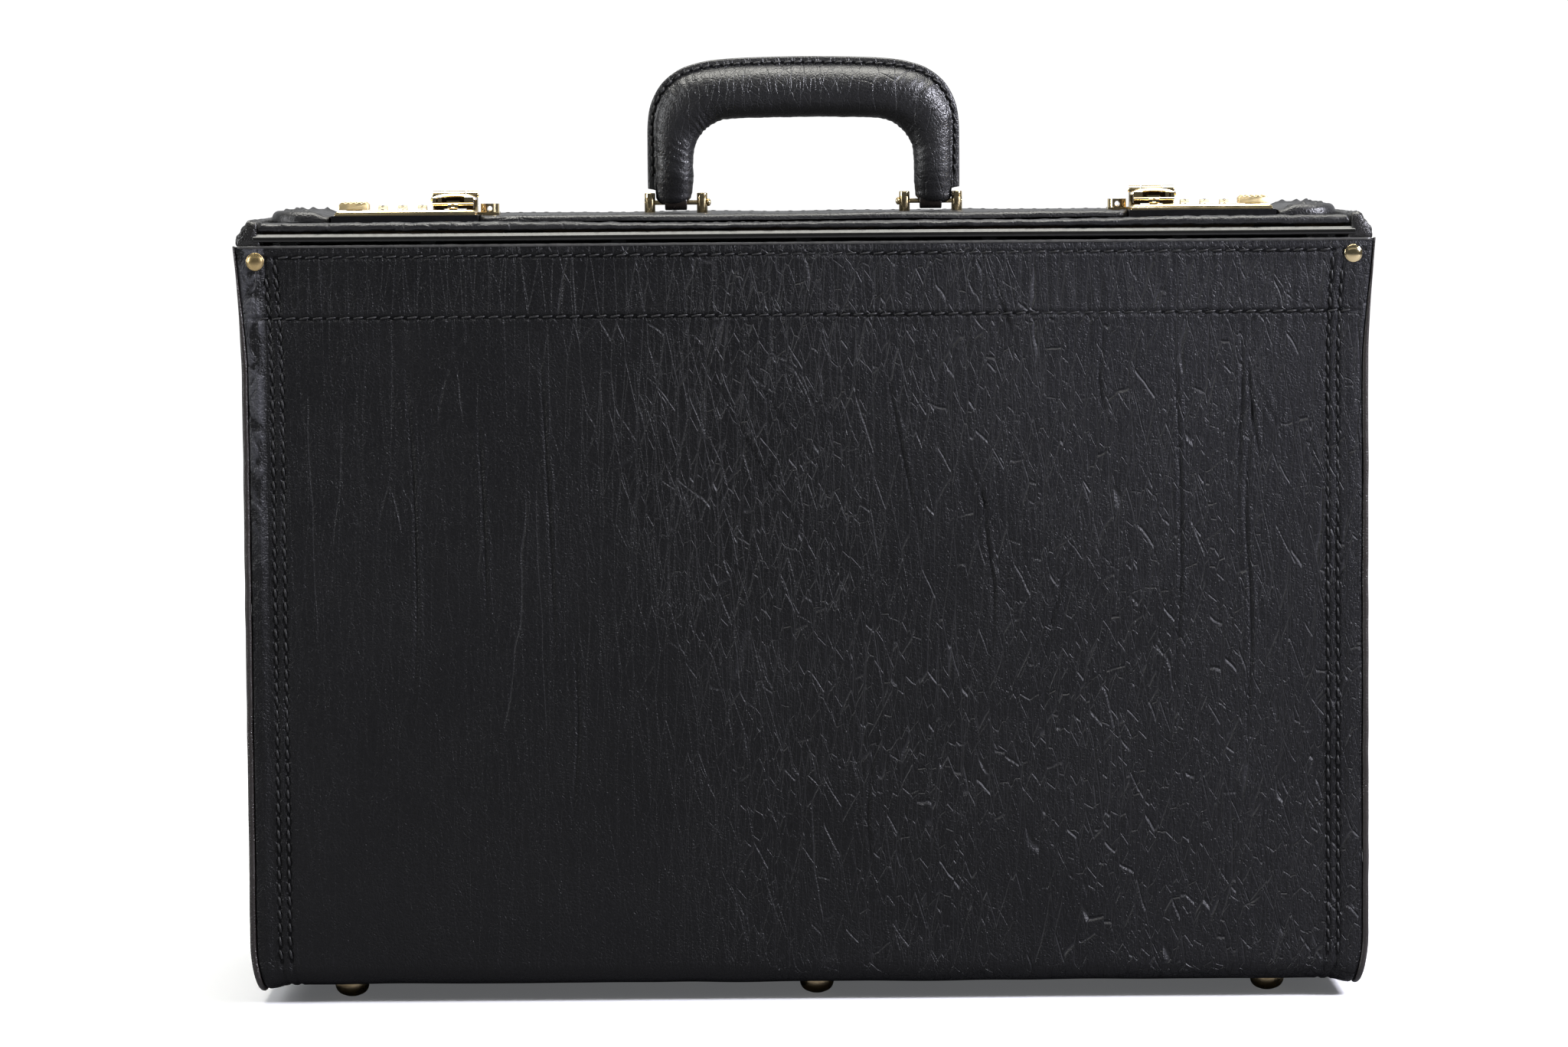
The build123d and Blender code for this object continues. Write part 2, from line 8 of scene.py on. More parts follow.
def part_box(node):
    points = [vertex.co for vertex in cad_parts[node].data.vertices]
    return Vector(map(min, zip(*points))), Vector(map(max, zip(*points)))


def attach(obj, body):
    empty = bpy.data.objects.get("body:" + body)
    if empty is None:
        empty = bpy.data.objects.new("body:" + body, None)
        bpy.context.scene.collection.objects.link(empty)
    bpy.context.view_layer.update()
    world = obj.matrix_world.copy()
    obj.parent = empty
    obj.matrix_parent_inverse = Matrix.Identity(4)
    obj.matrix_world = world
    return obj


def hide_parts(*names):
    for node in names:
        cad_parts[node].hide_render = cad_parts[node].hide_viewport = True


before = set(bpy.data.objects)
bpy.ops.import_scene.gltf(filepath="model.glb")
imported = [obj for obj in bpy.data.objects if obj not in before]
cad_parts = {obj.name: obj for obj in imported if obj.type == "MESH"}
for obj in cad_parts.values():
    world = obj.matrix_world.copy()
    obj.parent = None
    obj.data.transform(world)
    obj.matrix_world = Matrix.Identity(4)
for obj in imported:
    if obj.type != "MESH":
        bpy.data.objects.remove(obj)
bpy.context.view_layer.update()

S = 0.001
rng = np.random.RandomState(11)
scene = bpy.context.scene

# ---------------------------------------------------------------------------
# mesh helpers (all shapes are worked out in millimetres, in the CAD's frame)
# ---------------------------------------------------------------------------


def make(name, verts, faces, mat, smooth=True, body=None, slot=None, replaces=()):
    me = bpy.data.meshes.new(name)
    v = np.asarray(verts, float) * S
    me.from_pydata([tuple(p) for p in v], [], [tuple(int(i) for i in f) for f in faces])
    me.validate()
    me.update()
    if smooth:
        me.polygons.foreach_set("use_smooth", [True] * len(me.polygons))
    ob = bpy.data.objects.new(name, me)
    scene.collection.objects.link(ob)
    if mat is not None:
        me.materials.append(mat)
    if body:
        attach(ob, body)
    if replaces:
        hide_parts(*replaces)
    return ob


def grid_faces(nu, nv, close_u=False, close_v=False, base=0, flip=False):
    out = []
    uu = nu if close_u else nu - 1
    vv = nv if close_v else nv - 1
    for i in range(uu):
        a = i * nv
        b = ((i + 1) % nu) * nv
        for j in range(vv):
            k = (j + 1) % nv
            q = (base + a + j, base + b + j, base + b + k, base + a + k)
            out.append(q[::-1] if flip else q)
    return out


def grid(name, P, mat, close_u=False, close_v=False, flip=False, caps=False, **kw):
    nu, nv = P.shape[:2]
    v = P.reshape(-1, 3)
    f = grid_faces(nu, nv, close_u, close_v, 0, flip)
    if caps and close_v:
        v = np.vstack([v, P[0].mean(axis=0), P[-1].mean(axis=0)])
        c0, c1 = nu * nv, nu * nv + 1
        for j in range(nv):
            k = (j + 1) % nv
            a, b = (c0, j), (c1, (nu - 1) * nv + j)
            t0 = (c0, j, k)
            t1 = (c1, (nu - 1) * nv + k, (nu - 1) * nv + j)
            f.append(t0[::-1] if flip else t0)
            f.append(t1[::-1] if flip else t1)
    return make(name, v, f, mat, **kw)


_ph = {}


def wave(x, y, wl, seed, n=7):
    """Smooth seeded noise in two directions, about -1 to 1, wavelength wl in mm."""
    key = (seed, n)
    if key not in _ph:
        r = np.random.RandomState(seed)
        _ph[key] = (r.rand(n) * 2 * np.pi, r.rand(n) * 2 * np.pi, 0.6 + 0.9 * r.rand(n))
    ang, ph, fr = _ph[key]
    out = 0
    for a, p, q in zip(ang, ph, fr):
        k = 2 * np.pi * q / wl
        out = out + np.sin(k * (x * np.cos(a) + y * np.sin(a)) + p + 1.3 * np.sin(k * 0.43 * (y * np.cos(a) - x * np.sin(a)) + 2 * p))
    return out / math.sqrt(n) * 0.9


def smoothstep(a, b, x):
    t = np.clip((x - a) / (b - a), 0, 1)
    return t * t * (3 - 2 * t)


def axis_pts(lo, hi, step, fine=(), fine_step=0.3, fine_half=1.5):
    """Positions from lo to hi, denser around the given places."""
    pts = set(np.round(np.linspace(lo, hi, int(math.ceil((hi - lo) / step)) + 1), 4))
    for c in fine:
        for p in np.arange(c - fine_half, c + fine_half + 1e-6, fine_step):
            if lo < p < hi:
                pts.add(round(float(p), 4))
    pts = np.array(sorted(pts))
    keep = [pts[0]]
    for p in pts[1:]:
        if p - keep[-1] > fine_step * 0.55:
            keep.append(p)
    keep[-1] = pts[-1]
    return np.array(keep)


def catmull(points, per=12):
    """Smooth curve through 2-D or 3-D points."""
    p = np.asarray(points, float)
    p = np.vstack([2 * p[0] - p[1], p, 2 * p[-1] - p[-2]])
    out = []
    for i in range(1, len(p) - 2):
        for k in range(per):
            t = k / per
            a, b, c, d = p[i - 1], p[i], p[i + 1], p[i + 2]
            out.append(0.5 * ((2 * b) + (-a + c) * t + (2 * a - 5 * b + 4 * c - d) * t * t
                              + (-a + 3 * b - 3 * c + d) * t ** 3))
    out.append(p[-2])
    return np.array(out)


def resample(path, step=None, n=None):
    path = np.asarray(path, float)
    d = np.r_[0, np.cumsum(np.linalg.norm(np.diff(path, axis=0), axis=1))]
    if n is None:
        n = max(2, int(round(d[-1] / step)) + 1)
    s = np.linspace(0, d[-1], n)
    return np.stack([np.interp(s, d, path[:, k]) for k in range(path.shape[1])], axis=1)


def thread(name, rows, mat, body, slot="leather_trim", pitch=5.4, length=4.2, r=0.36, sink=0.22, slant=0.16,
           flat=0.75):
    """Stitches along paths. rows: list of (path Nx3 in mm, normals Nx3 or one normal)."""
    V, F = [], []
    nseg, nring = 7, 8
    for path, nrm in rows:
        path = np.asarray(path, float)
        d = np.r_[0, np.cumsum(np.linalg.norm(np.diff(path, axis=0), axis=1))]
        count = int(d[-1] // pitch)
        if count < 1:
            continue
        off = (d[-1] - count * pitch) / 2 + pitch / 2
        nrm = np.asarray(nrm, float)
        for i in range(count):
            c = off + i * pitch
            pa = np.array([np.interp(c - length / 2, d, path[:, k]) for k in range(3)])
            pb = np.array([np.interp(c + length / 2, d, path[:, k]) for k in range(3)])
            pm = np.array([np.interp(c, d, path[:, k]) for k in range(3)])
            if nrm.ndim == 2:
                n = np.array([np.interp(c, d, nrm[:, k]) for k in range(3)])
            else:
                n = nrm.copy()
            n /= np.linalg.norm(n)
            t = pb - pa
            t /= np.linalg.norm(t)
            n = n - t * np.dot(n, t)
            n /= np.linalg.norm(n)
            b = np.cross(n, t)
            jit = rng.uniform(-0.04, 0.04)
            t2 = t * math.cos(slant + jit) + b * math.sin(slant + jit)
            b2 = np.cross(n, t2)
            lift = rng.uniform(-0.03, 0.03)
            base = len(V)
            for a in range(nseg + 1):
                u = a / nseg
                x = (u - 0.5) * length
                h = (math.sin(math.pi * u) ** 0.7) * (r * 0.95 + sink) - sink + lift
                rr = r * (0.55 + 0.45 * math.sin(math.pi * u) ** 0.5)
                for k in range(nring):
                    q = 2 * math.pi * k / nring
                    V.append(pm + t2 * x + n * (h + rr * flat * math.sin(q)) + b2 * rr * math.cos(q))
            for a in range(nseg):
                for k in range(nring):
                    kk = (k + 1) % nring
                    F.append((base + a * nring + k, base + (a + 1) * nring + k,
                              base + (a + 1) * nring + kk, base + a * nring + kk))
            F.append(tuple(base + k for k in range(nring)))
            F.append(tuple(base + nseg * nring + k for k in reversed(range(nring))))
    ob = make(name, V, F, mat, body=body, slot=slot)
    return ob


def holes(name, rows, mat, body, slot="leather_trim", pitch=5.4, r=0.58, lift=0.10, offset=0.0):
    """Small dark discs of painted shade for the needle holes between the stitches of a row."""
    V, F = [], []
    for path, nrm in rows:
        path = np.asarray(path, float)
        d = np.r_[0, np.cumsum(np.linalg.norm(np.diff(path, axis=0), axis=1))]
        count = int(d[-1] // pitch)
        if count < 1:
            continue
        off = (d[-1] - count * pitch) / 2
        nrm = np.asarray(nrm, float)
        for i in range(count + 1):
            c = min(max(off + i * pitch, 0.3), d[-1] - 0.3)
            pa = np.array([np.interp(c - 0.3, d, path[:, k]) for k in range(3)])
            pb = np.array([np.interp(c + 0.3, d, path[:, k]) for k in range(3)])
            n = np.array([np.interp(c, d, nrm[:, k]) for k in range(3)]) if nrm.ndim == 2 else nrm.copy()
            n /= np.linalg.norm(n)
            t = (pb - pa) / max(np.linalg.norm(pb - pa), 1e-9)
            b = np.cross(n, t)
            cen = (pa + pb) / 2 + n * (lift + offset)
            base = len(V)
            for k in range(10):
                q = 2 * math.pi * k / 10
                V.append(cen + t * r * 1.25 * math.cos(q) + b * r * math.sin(q))
            for k in range(10):
                q = 2 * math.pi * k / 10
                V.append(cen - n * 0.35 + t * r * 0.9 * math.cos(q) + b * r * 0.7 * math.sin(q))
            F.append(tuple(base + k for k in reversed(range(10))))
            F.append(tuple(base + 10 + k for k in range(10)))
            for k in range(10):
                kk = (k + 1) % 10
                F.append((base + k, base + kk, base + 10 + kk, base + 10 + k))
    ob = make(name, V, F, mat, smooth=False, body=body, slot=slot)
    bm = bmesh.new()
    bm.from_mesh(ob.data)
    bmesh.ops.recalc_face_normals(bm, faces=bm.faces)
    bm.to_mesh(ob.data)
    bm.free()
    return ob


def cad_copy(node, mat, body, width=0.15, segs=2, angle=28, name=None, tweak=None, subdiv=False):
    """A fresh mesh on a CAD node's shape with its edges rounded over."""
    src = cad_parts[node]
    ob0 = src if hasattr(src, "data") else bpy.data.objects[src]
    bm = bmesh.new()
    bm.from_mesh(ob0.data)
    bmesh.ops.remove_doubles(bm, verts=bm.verts, dist=1e-6)
    bmesh.ops.dissolve_limit(bm, angle_limit=math.radians(1.0), verts=bm.verts, edges=bm.edges,
                             delimit={"NORMAL"})
    me = bpy.data.meshes.new(name or node + "_look")
    bm.to_mesh(me)
    bm.free()
    if tweak:
        for v in me.vertices:
            v.co = Vector(tweak(np.array(v.co) / S)) * S
    ob = bpy.data.objects.new(name or node + "_look", me)
    scene.collection.objects.link(ob)
    if width > 0:
        md = ob.modifiers.new("round", "BEVEL")
        md.width = width * S
        md.segments = segs
        md.limit_method = "ANGLE"
        md.angle_limit = math.radians(angle)
        md.use_clamp_overlap = True
        md.harden_normals = False
        dg = bpy.context.evaluated_depsgraph_get()
        me2 = bpy.data.meshes.new_from_object(ob.evaluated_get(dg))
        ob.modifiers.clear()
        ob.data = me2
        me = me2
    me.materials.clear()
    me.materials.append(mat)
    me.polygons.foreach_set("use_smooth", [True] * len(me.polygons))
    try:
        me.set_sharp_from_angle(angle=math.radians(38))
    except Exception:
        pass
    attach(ob, body)
    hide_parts(node)
    return ob


# ---------------------------------------------------------------------------
# materials
# ---------------------------------------------------------------------------


class Nodes:
    def __init__(self, name):
        self.mat = bpy.data.materials.new(name)
        self.mat.use_nodes = True
        self.t = self.mat.node_tree
        self.t.nodes.clear()
        self.out = self.t.nodes.new("ShaderNodeOutputMaterial")
        self.b = self.t.nodes.new("ShaderNodeBsdfPrincipled")
        self.t.links.new(self.b.outputs[0], self.out.inputs[0])
        self.tc = self.t.nodes.new("ShaderNodeTexCoord")

    def link(self, a, b):
        self.t.links.new(a, b)

    def mapping(self, scale=(1, 1, 1), rot=(0, 0, 0), loc=(0, 0, 0), src=None):
        n = self.t.nodes.new("ShaderNodeMapping")
        n.inputs["Scale"].default_value = scale
        n.inputs["Rotation"].default_value = rot
        n.inputs["Location"].default_value = loc
        self.link(src or self.tc.outputs["Object"], n.inputs["Vector"])
        return n.outputs[0]

    def noise(self, vec, scale, detail=3, rough=0.55, dist=0.0):
        n = self.t.nodes.new("ShaderNodeTexNoise")
        n.inputs["Scale"].default_value = scale
        n.inputs["Detail"].default_value = detail
        n.inputs["Roughness"].default_value = rough
        n.inputs["Distortion"].default_value = dist
        self.link(vec, n.inputs["Vector"])
        return n.outputs[0]

    def vor(self, vec, scale, feature="F1", rand=1.0, smooth=None):
        n = self.t.nodes.new("ShaderNodeTexVoronoi")
        n.feature = feature
        n.inputs["Scale"].default_value = scale
        n.inputs["Randomness"].default_value = rand
        if smooth is not None and feature == "SMOOTH_F1":
            n.inputs["Smoothness"].default_value = smooth
        self.link(vec, n.inputs["Vector"])
        return n.outputs["Distance"]

    def math(self, op, a, b=None, clamp=False):
        n = self.t.nodes.new("ShaderNodeMath")
        n.operation = op
        n.use_clamp = clamp
        for i, v in enumerate((a, b)):
            if v is None:
                continue
            if isinstance(v, (int, float)):
                n.inputs[i].default_value = v
            else:
                self.link(v, n.inputs[i])
        return n.outputs[0]

    def ramp(self, v, lo, hi, a=0.0, b=1.0, smooth=True):
        n = self.t.nodes.new("ShaderNodeMapRange")
        n.interpolation_type = "SMOOTHSTEP" if smooth else "LINEAR"
        n.clamp = True if not smooth else n.clamp
        for k, x in zip(("From Min", "From Max", "To Min", "To Max"), (lo, hi, a, b)):
            n.inputs[k].default_value = x
        self.link(v, n.inputs["Value"])
        return n.outputs[0]

    def mixc(self, f, a, b):
        n = self.t.nodes.new("ShaderNodeMix")
        n.data_type = "RGBA"
        if isinstance(f, (int, float)):
            n.inputs[0].default_value = f
        else:
            self.link(f, n.inputs[0])
        for s, v in ((n.inputs[6], a), (n.inputs[7], b)):
            if isinstance(v, tuple):
                s.default_value = v + (1.0,) if len(v) == 3 else v
            else:
                self.link(v, s)
        return n.outputs[2]

    def vadd(self, vec, amount_src, amount):
        """vec + (noise - 0.5) * amount"""
        s = self.t.nodes.new("ShaderNodeVectorMath")
        s.operation = "SUBTRACT"
        self.link(amount_src, s.inputs[0])
        s.inputs[1].default_value = (0.5, 0.5, 0.5)
        m_ = self.t.nodes.new("ShaderNodeVectorMath")
        m_.operation = "SCALE"
        self.link(s.outputs[0], m_.inputs[0])
        m_.inputs["Scale"].default_value = amount
        a = self.t.nodes.new("ShaderNodeVectorMath")
        a.operation = "ADD"
        self.link(vec, a.inputs[0])
        self.link(m_.outputs[0], a.inputs[1])
        return a.outputs[0]

    def noise_col(self, vec, scale, detail=2):
        n = self.t.nodes.new("ShaderNodeTexNoise")
        n.inputs["Scale"].default_value = scale
        n.inputs["Detail"].default_value = detail
        self.link(vec, n.inputs["Vector"])
        return n.outputs["Color"]

    def bump(self, height, dist, strength=1.0, prev=None):
        n = self.t.nodes.new("ShaderNodeBump")
        n.inputs["Distance"].default_value = dist
        n.inputs["Strength"].default_value = strength
        self.link(height, n.inputs["Height"])
        if prev is not None:
            self.link(prev, n.inputs["Normal"])
        return n.outputs[0]

    def normal(self, n):
        self.link(n, self.b.inputs["Normal"])

    def set(self, key, v):
        if isinstance(v, (int, float, tuple)):
            self.b.inputs[key].default_value = v
        else:
            self.link(v, self.b.inputs[key])


def leather(name, dark=(0.0092, 0.0092, 0.0100), light=(0.0150, 0.0150, 0.0165), grain=1.0, rough=(0.34, 0.50),
            crease=1.0, stretch=(1.0, 1.0, 1.0), crease_stretch=(1.0, 0.3, 0.22), spec=0.45, net=0.0, folds=0.0,
            depth=1.0):
    """Black pebbled leather. net raises a mesh of upright creases towards the right of the front panel."""
    N = Nodes(name)
    obj = N.tc.outputs["Object"]
    warp = N.noise_col(N.mapping((60, 60, 60)), 1.0, 2)
    p = N.vadd(N.mapping(stretch), warp, 0.004)
    cells = N.vor(p, 620 * grain, "DISTANCE_TO_EDGE")
    cells_h = N.ramp(cells, 0.0, 0.28)
    cells2 = N.vor(p, 1300 * grain, "DISTANCE_TO_EDGE")
    cells2_h = N.ramp(cells2, 0.0, 0.3)
    fine = N.noise(p, 2600 * grain, 3)
    # creases: long thin lines, broken up so that they come and go
    w2 = N.noise_col(N.mapping((14, 14, 14)), 1.0, 3)
    pc = N.vadd(N.mapping(crease_stretch), w2, 0.020)
    line1 = N.vor(pc, 55, "DISTANCE_TO_EDGE")
    line1_h = N.ramp(line1, 0.0, 0.035)
    line2 = N.vor(pc, 150, "DISTANCE_TO_EDGE")
    line2_h = N.ramp(line2, 0.0, 0.07)
    m1 = N.ramp(N.noise(N.mapping((9, 9, 9)), 1.0, 2), 0.42, 0.62)
    m2 = N.ramp(N.noise(N.mapping((17, 17, 17), loc=(3, 1, 2)), 1.0, 2), 0.40, 0.66)
    l1 = N.math("MULTIPLY", N.math("SUBTRACT", 1.0, line1_h), m1)
    l2 = N.math("MULTIPLY", N.math("SUBTRACT", 1.0, line2_h), m2)
    h = N.math("ADD", N.math("MULTIPLY", cells_h, 0.42), N.math("MULTIPLY", cells2_h, 0.20))
    h = N.math("ADD", h, N.math("MULTIPLY", fine, 0.10))
    h = N.math("SUBTRACT", h, N.math("MULTIPLY", l1, 1.25 * crease))
    h = N.math("SUBTRACT", h, N.math("MULTIPLY", l2, 0.65 * crease))
    n1 = N.bump(h, 0.00025 * depth, 1.0)
    lines = None
    if net or folds:
        sx = N.t.nodes.new("ShaderNodeSeparateXYZ")
        N.link(obj, sx.inputs[0])
        X, Z = sx.outputs[0], sx.outputs[2]

        def web(scale, stretch_z, rot, loc, width, warp_amt, warp_scale):
            wn = N.noise_col(N.mapping((warp_scale, warp_scale, warp_scale * 0.45), loc=loc), 1.0, 3)
            pv = N.vadd(N.mapping((1.0, 1.0, stretch_z), rot=(0, rot, 0), loc=loc), wn, warp_amt)
            return N.math("SUBTRACT", 1.0, N.ramp(N.vor(pv, scale, "DISTANCE_TO_EDGE"), 0.0, width))

        XS = N.math("ADD", X, N.math("MULTIPLY", N.math("SUBTRACT", Z, 0.15), 0.30))
        right = N.ramp(XS, -0.110, 0.110, 0.0, 1.0)
        # the band between the two seams is creased all along, less so on the left
        bandz = N.math("MULTIPLY", N.ramp(Z, 0.264, 0.279), N.ramp(X, -0.13, 0.06, 0.04, 0.80))
        zone = N.math("MAXIMUM", right, bandz)
        pa = N.ramp(N.noise(N.mapping((14, 14, 8), loc=(5, 2, 4)), 1.0, 3), 0.34, 0.60, 0.42, 1.0)
        pb = N.ramp(N.noise(N.mapping((19, 19, 10), loc=(2, 9, 1)), 1.0, 3), 0.38, 0.60, 0.0, 1.0)
        pd = N.ramp(N.noise(N.mapping((15, 15, 12), loc=(7, 3, 8)), 1.0, 3), 0.44, 0.60, 0.0, 1.0)
        wa = N.math("MULTIPLY", web(185, 0.13, 0.05, (0.2, 0, 0.1), 0.026, 0.0026, 34), pa)
        wb = N.math("MULTIPLY", web(330, 0.24, -0.16, (0.5, 0, 0.3), 0.040, 0.0015, 60), pb)
        wd = N.math("MULTIPLY", web(150, 0.14, 0.55, (0.9, 0, 0.7), 0.018, 0.0018, 30), pd)
        we = N.math("MULTIPLY", web(140, 0.14, -0.50, (0.1, 0, 0.4), 0.016, 0.0018, 30),
                    N.ramp(N.noise(N.mapping((13, 13, 12), loc=(1, 6, 2)), 1.0, 3), 0.46, 0.60, 0.0, 1.0))
        mesh_ = N.math("MAXIMUM", N.math("MAXIMUM", wa, N.math("MULTIPLY", wb, 0.75)), N.math("MULTIPLY", wd, 0.8))
        mesh_ = N.math("MAXIMUM", mesh_, N.math("MULTIPLY", we, 0.8))
        mesh_ = N.math("MULTIPLY", mesh_, N.math("ADD", zone, 0.05))
        rid = N.math("MULTIPLY", N.noise(N.mapping((330, 330, 100), rot=(0, 0.12, 0)), 1.0, 4, 0.62), N.math("ADD", zone, 0.08))
        hh = N.math("SUBTRACT", N.math("MULTIPLY", rid, 0.50), N.math("MULTIPLY", mesh_, 0.80))
        n1 = N.bump(hh, 0.00120 * net, 1.0, prev=n1)
        # sparse long upright creases everywhere
        lm = N.ramp(N.noise(N.mapping((26, 26, 9), loc=(8, 1, 6)), 1.0, 2), 0.54, 0.62)
        long_ = N.math("MULTIPLY", web(58, 0.085, 0.05, (0.7, 0, 0.2), 0.013, 0.012, 20), lm)
        n1 = N.bump(N.math("SUBTRACT", 1.0, long_), 0.00030 * folds, 1.0, prev=n1)
        # the border strip on the left is crumpled; its shine is a painted highlight in light patches
        strip = N.math("MULTIPLY", N.ramp(X, -0.2150, -0.2185), N.ramp(Z, 0.10, 0.20, 0.25, 1.0))
        crm = N.noise(N.mapping((150, 150, 85), loc=(3, 3, 3)), 1.0, 3, 0.5, 0.8)
        n1 = N.bump(N.math("MULTIPLY", crm, strip), 0.0030, 1.0, prev=n1)
        lines = N.math("MAXIMUM", N.math("MULTIPLY", mesh_, 1.0), N.math("MULTIPLY", long_, 0.3))
        # painted sheen: the base colour is lightened towards the top right of the front panel
        sheen_top_right = N.math("MULTIPLY", N.ramp(XS, -0.03, 0.20), N.ramp(Z, 0.12, 0.285, 0.42, 1.0))
        # painted highlight: light patches on the crumpled left border strip
        strip_sheen = N.math("MULTIPLY", strip, N.math("MULTIPLY", N.ramp(crm, 0.44, 0.56), N.ramp(Z, 0.16, 0.25)))
    N.normal(n1)
    big = N.noise(N.mapping((6, 6, 6), loc=(2, 5, 1)), 1.0, 3)
    tone = N.math("ADD", N.math("MULTIPLY", N.ramp(big, 0.3, 0.7), 0.45), N.math("MULTIPLY", cells_h, 0.22))
    tone = N.math("ADD", tone, N.math("MULTIPLY", N.math("MAXIMUM", l1, l2), 0.30 * crease))
    tone = N.math("MULTIPLY", tone, 1.0, clamp=True)
    col = N.mixc(tone, dark, light)
    if lines is not None:
        # painted highlight: the upright crease lines are coloured lighter than the leather
        col = N.mixc(N.math("MULTIPLY", lines, 0.50, clamp=True), col, (0.062, 0.062, 0.067))
        # painted sheen, lighter towards the top right
        col = N.mixc(N.math("MULTIPLY", sheen_top_right, 0.55, clamp=True), col, (0.026, 0.026, 0.030))
        # painted shade: the centres of the deepest creases are darkened to near black
        col = N.mixc(N.math("MULTIPLY", N.ramp(mesh_, 0.75, 1.0), 0.30, clamp=True), col, (0.0012, 0.0012, 0.0014))
        # painted highlight on the left border strip
        col = N.mixc(N.math("MULTIPLY", strip_sheen, 0.8, clamp=True), col, (0.075, 0.076, 0.084))
    N.set("Base Color", col)
    r = N.math("ADD", N.ramp(N.noise(N.mapping((30, 30, 30)), 1.0, 3), 0.3, 0.7, rough[0], rough[1]),
               N.math("MULTIPLY", N.math("SUBTRACT", 1.0, cells_h), 0.10))
    N.set("Roughness", r)
    N.set("Specular IOR Level", spec)
    N.set("IOR", 1.5)
    return N.mat


def gold(name, col=(0.90, 0.62, 0.26), dark=(0.45, 0.27, 0.10), rough=0.16, age=0.25, scr=0.3):
    N = Nodes(name)
    a = N.noise(N.mapping((180, 180, 180)), 1.0, 4)
    b_ = N.noise(N.mapping((900, 900, 900), loc=(1, 2, 3)), 1.0, 3)
    f = N.math("MULTIPLY", N.ramp(a, 0.45, 0.75), age)
    f = N.math("ADD", f, N.math("MULTIPLY", N.ramp(b_, 0.58, 0.8), age * 0.7), clamp=True)
    N.set("Base Color", N.mixc(f, col, dark))
    N.set("Metallic", 1.0)
    N.set("Roughness", N.ramp(a, 0.25, 0.8, rough * 0.8, rough * 1.5))
    hair = N.noise(N.mapping((1500, 90, 1500)), 1.0, 2)
    n = N.bump(N.math("ADD", N.math("MULTIPLY", hair, 0.5), N.math("MULTIPLY", b_, 0.5)), 0.00001, scr)
    N.normal(n)
    return N.mat


def plain_metal(name, col, rough=0.25, metallic=0.0, spec=0.5, noise_scale=500, bumpd=0.00001, dark=None):
    N = Nodes(name)
    a = N.noise(N.mapping((noise_scale,) * 3), 1.0, 3)
    N.set("Base Color", N.mixc(N.ramp(a, 0.3, 0.75), col, dark or tuple(c * 0.6 for c in col)))
    N.set("Metallic", metallic)
    N.set("Roughness", N.ramp(a, 0.2, 0.8, rough * 0.8, rough * 1.35))
    N.set("Specular IOR Level", spec)
    N.normal(N.bump(a, bumpd, 0.4))
    return N.mat


def cloth(name, a=(0.10, 0.085, 0.07), b=(0.16, 0.135, 0.11)):
    N = Nodes(name)
    w1 = N.t.nodes.new("ShaderNodeTexWave")
    w1.inputs["Scale"].default_value = 320
    w1.bands_direction = "DIAGONAL"
    N.link(N.tc.outputs["Object"], w1.inputs["Vector"])
    n = N.noise(N.mapping((500, 500, 500)), 1.0, 3)
    h = N.math("ADD", N.math("MULTIPLY", w1.outputs[1], 0.6), N.math("MULTIPLY", n, 0.4))
    N.set("Base Color", N.mixc(h, a, b))
    N.set("Roughness", N.ramp(n, 0.2, 0.8, 0.75, 0.95))
    N.normal(N.bump(h, 0.0002, 0.6))
    return N.mat


def threadmat(name):
    N = Nodes(name)
    w = N.noise(N.mapping((3500, 3500, 3500)), 1.0, 2)
    N.set("Base Color", N.mixc(w, (0.0035, 0.0035, 0.004), (0.012, 0.012, 0.013)))
    N.set("Roughness", N.ramp(w, 0.2, 0.8, 0.42, 0.62))
    N.normal(N.bump(w, 0.00008, 0.6))
    return N.mat


def wood(name):
    N = Nodes(name)
    n = N.noise(N.mapping((40, 400, 40)), 1.0, 4)
    N.set("Base Color", N.mixc(n, (0.20, 0.13, 0.07), (0.34, 0.24, 0.14)))
    N.set("Roughness", N.ramp(n, 0.2, 0.8, 0.6, 0.85))
    N.normal(N.bump(n, 0.0002, 0.5))
    return N.mat


M_PANEL = leather("leather_panel", dark=(0.0038, 0.0038, 0.0042), light=(0.0070, 0.0070, 0.0080), net=1.15, folds=1.0,
                  crease=0.3, crease_stretch=(1.0, 0.3, 0.16), rough=(0.34, 0.42), spec=0.26)
M_SIDE = leather("leather_side", crease_stretch=(0.3, 1.0, 0.22))
M_LID = leather("leather_lid", crease_stretch=(1.0, 0.45, 0.6), crease=1.1, rough=(0.28, 0.42), spec=0.55, depth=0.55)
M_FLAP = leather("leather_flap", crease_stretch=(0.8, 1.0, 1.0), crease=0.7, rough=(0.26, 0.40), spec=0.55, depth=0.55)
M_HANDLE = leather("leather_handle", crease_stretch=(2.4, 1.0, 0.9), crease=0.9, rough=(0.24, 0.36), grain=1.15, spec=0.6, depth=0.55)
M_TRIM = leather("leather_trim", dark=(0.0100, 0.0096, 0.0092), light=(0.018, 0.017, 0.016), crease=0.5,
                 rough=(0.22, 0.36), grain=1.3, spec=0.6, depth=0.55)
M_BEAD = leather("leather_bead", dark=(0.013, 0.010, 0.009), light=(0.028, 0.022, 0.019), crease=0.3,
                 rough=(0.24, 0.36), grain=1.4, spec=0.7, depth=0.55)
M_GOLD = gold("gold_polished", col=(0.92, 0.75, 0.44), dark=(0.60, 0.42, 0.18), rough=0.13, age=0.22)
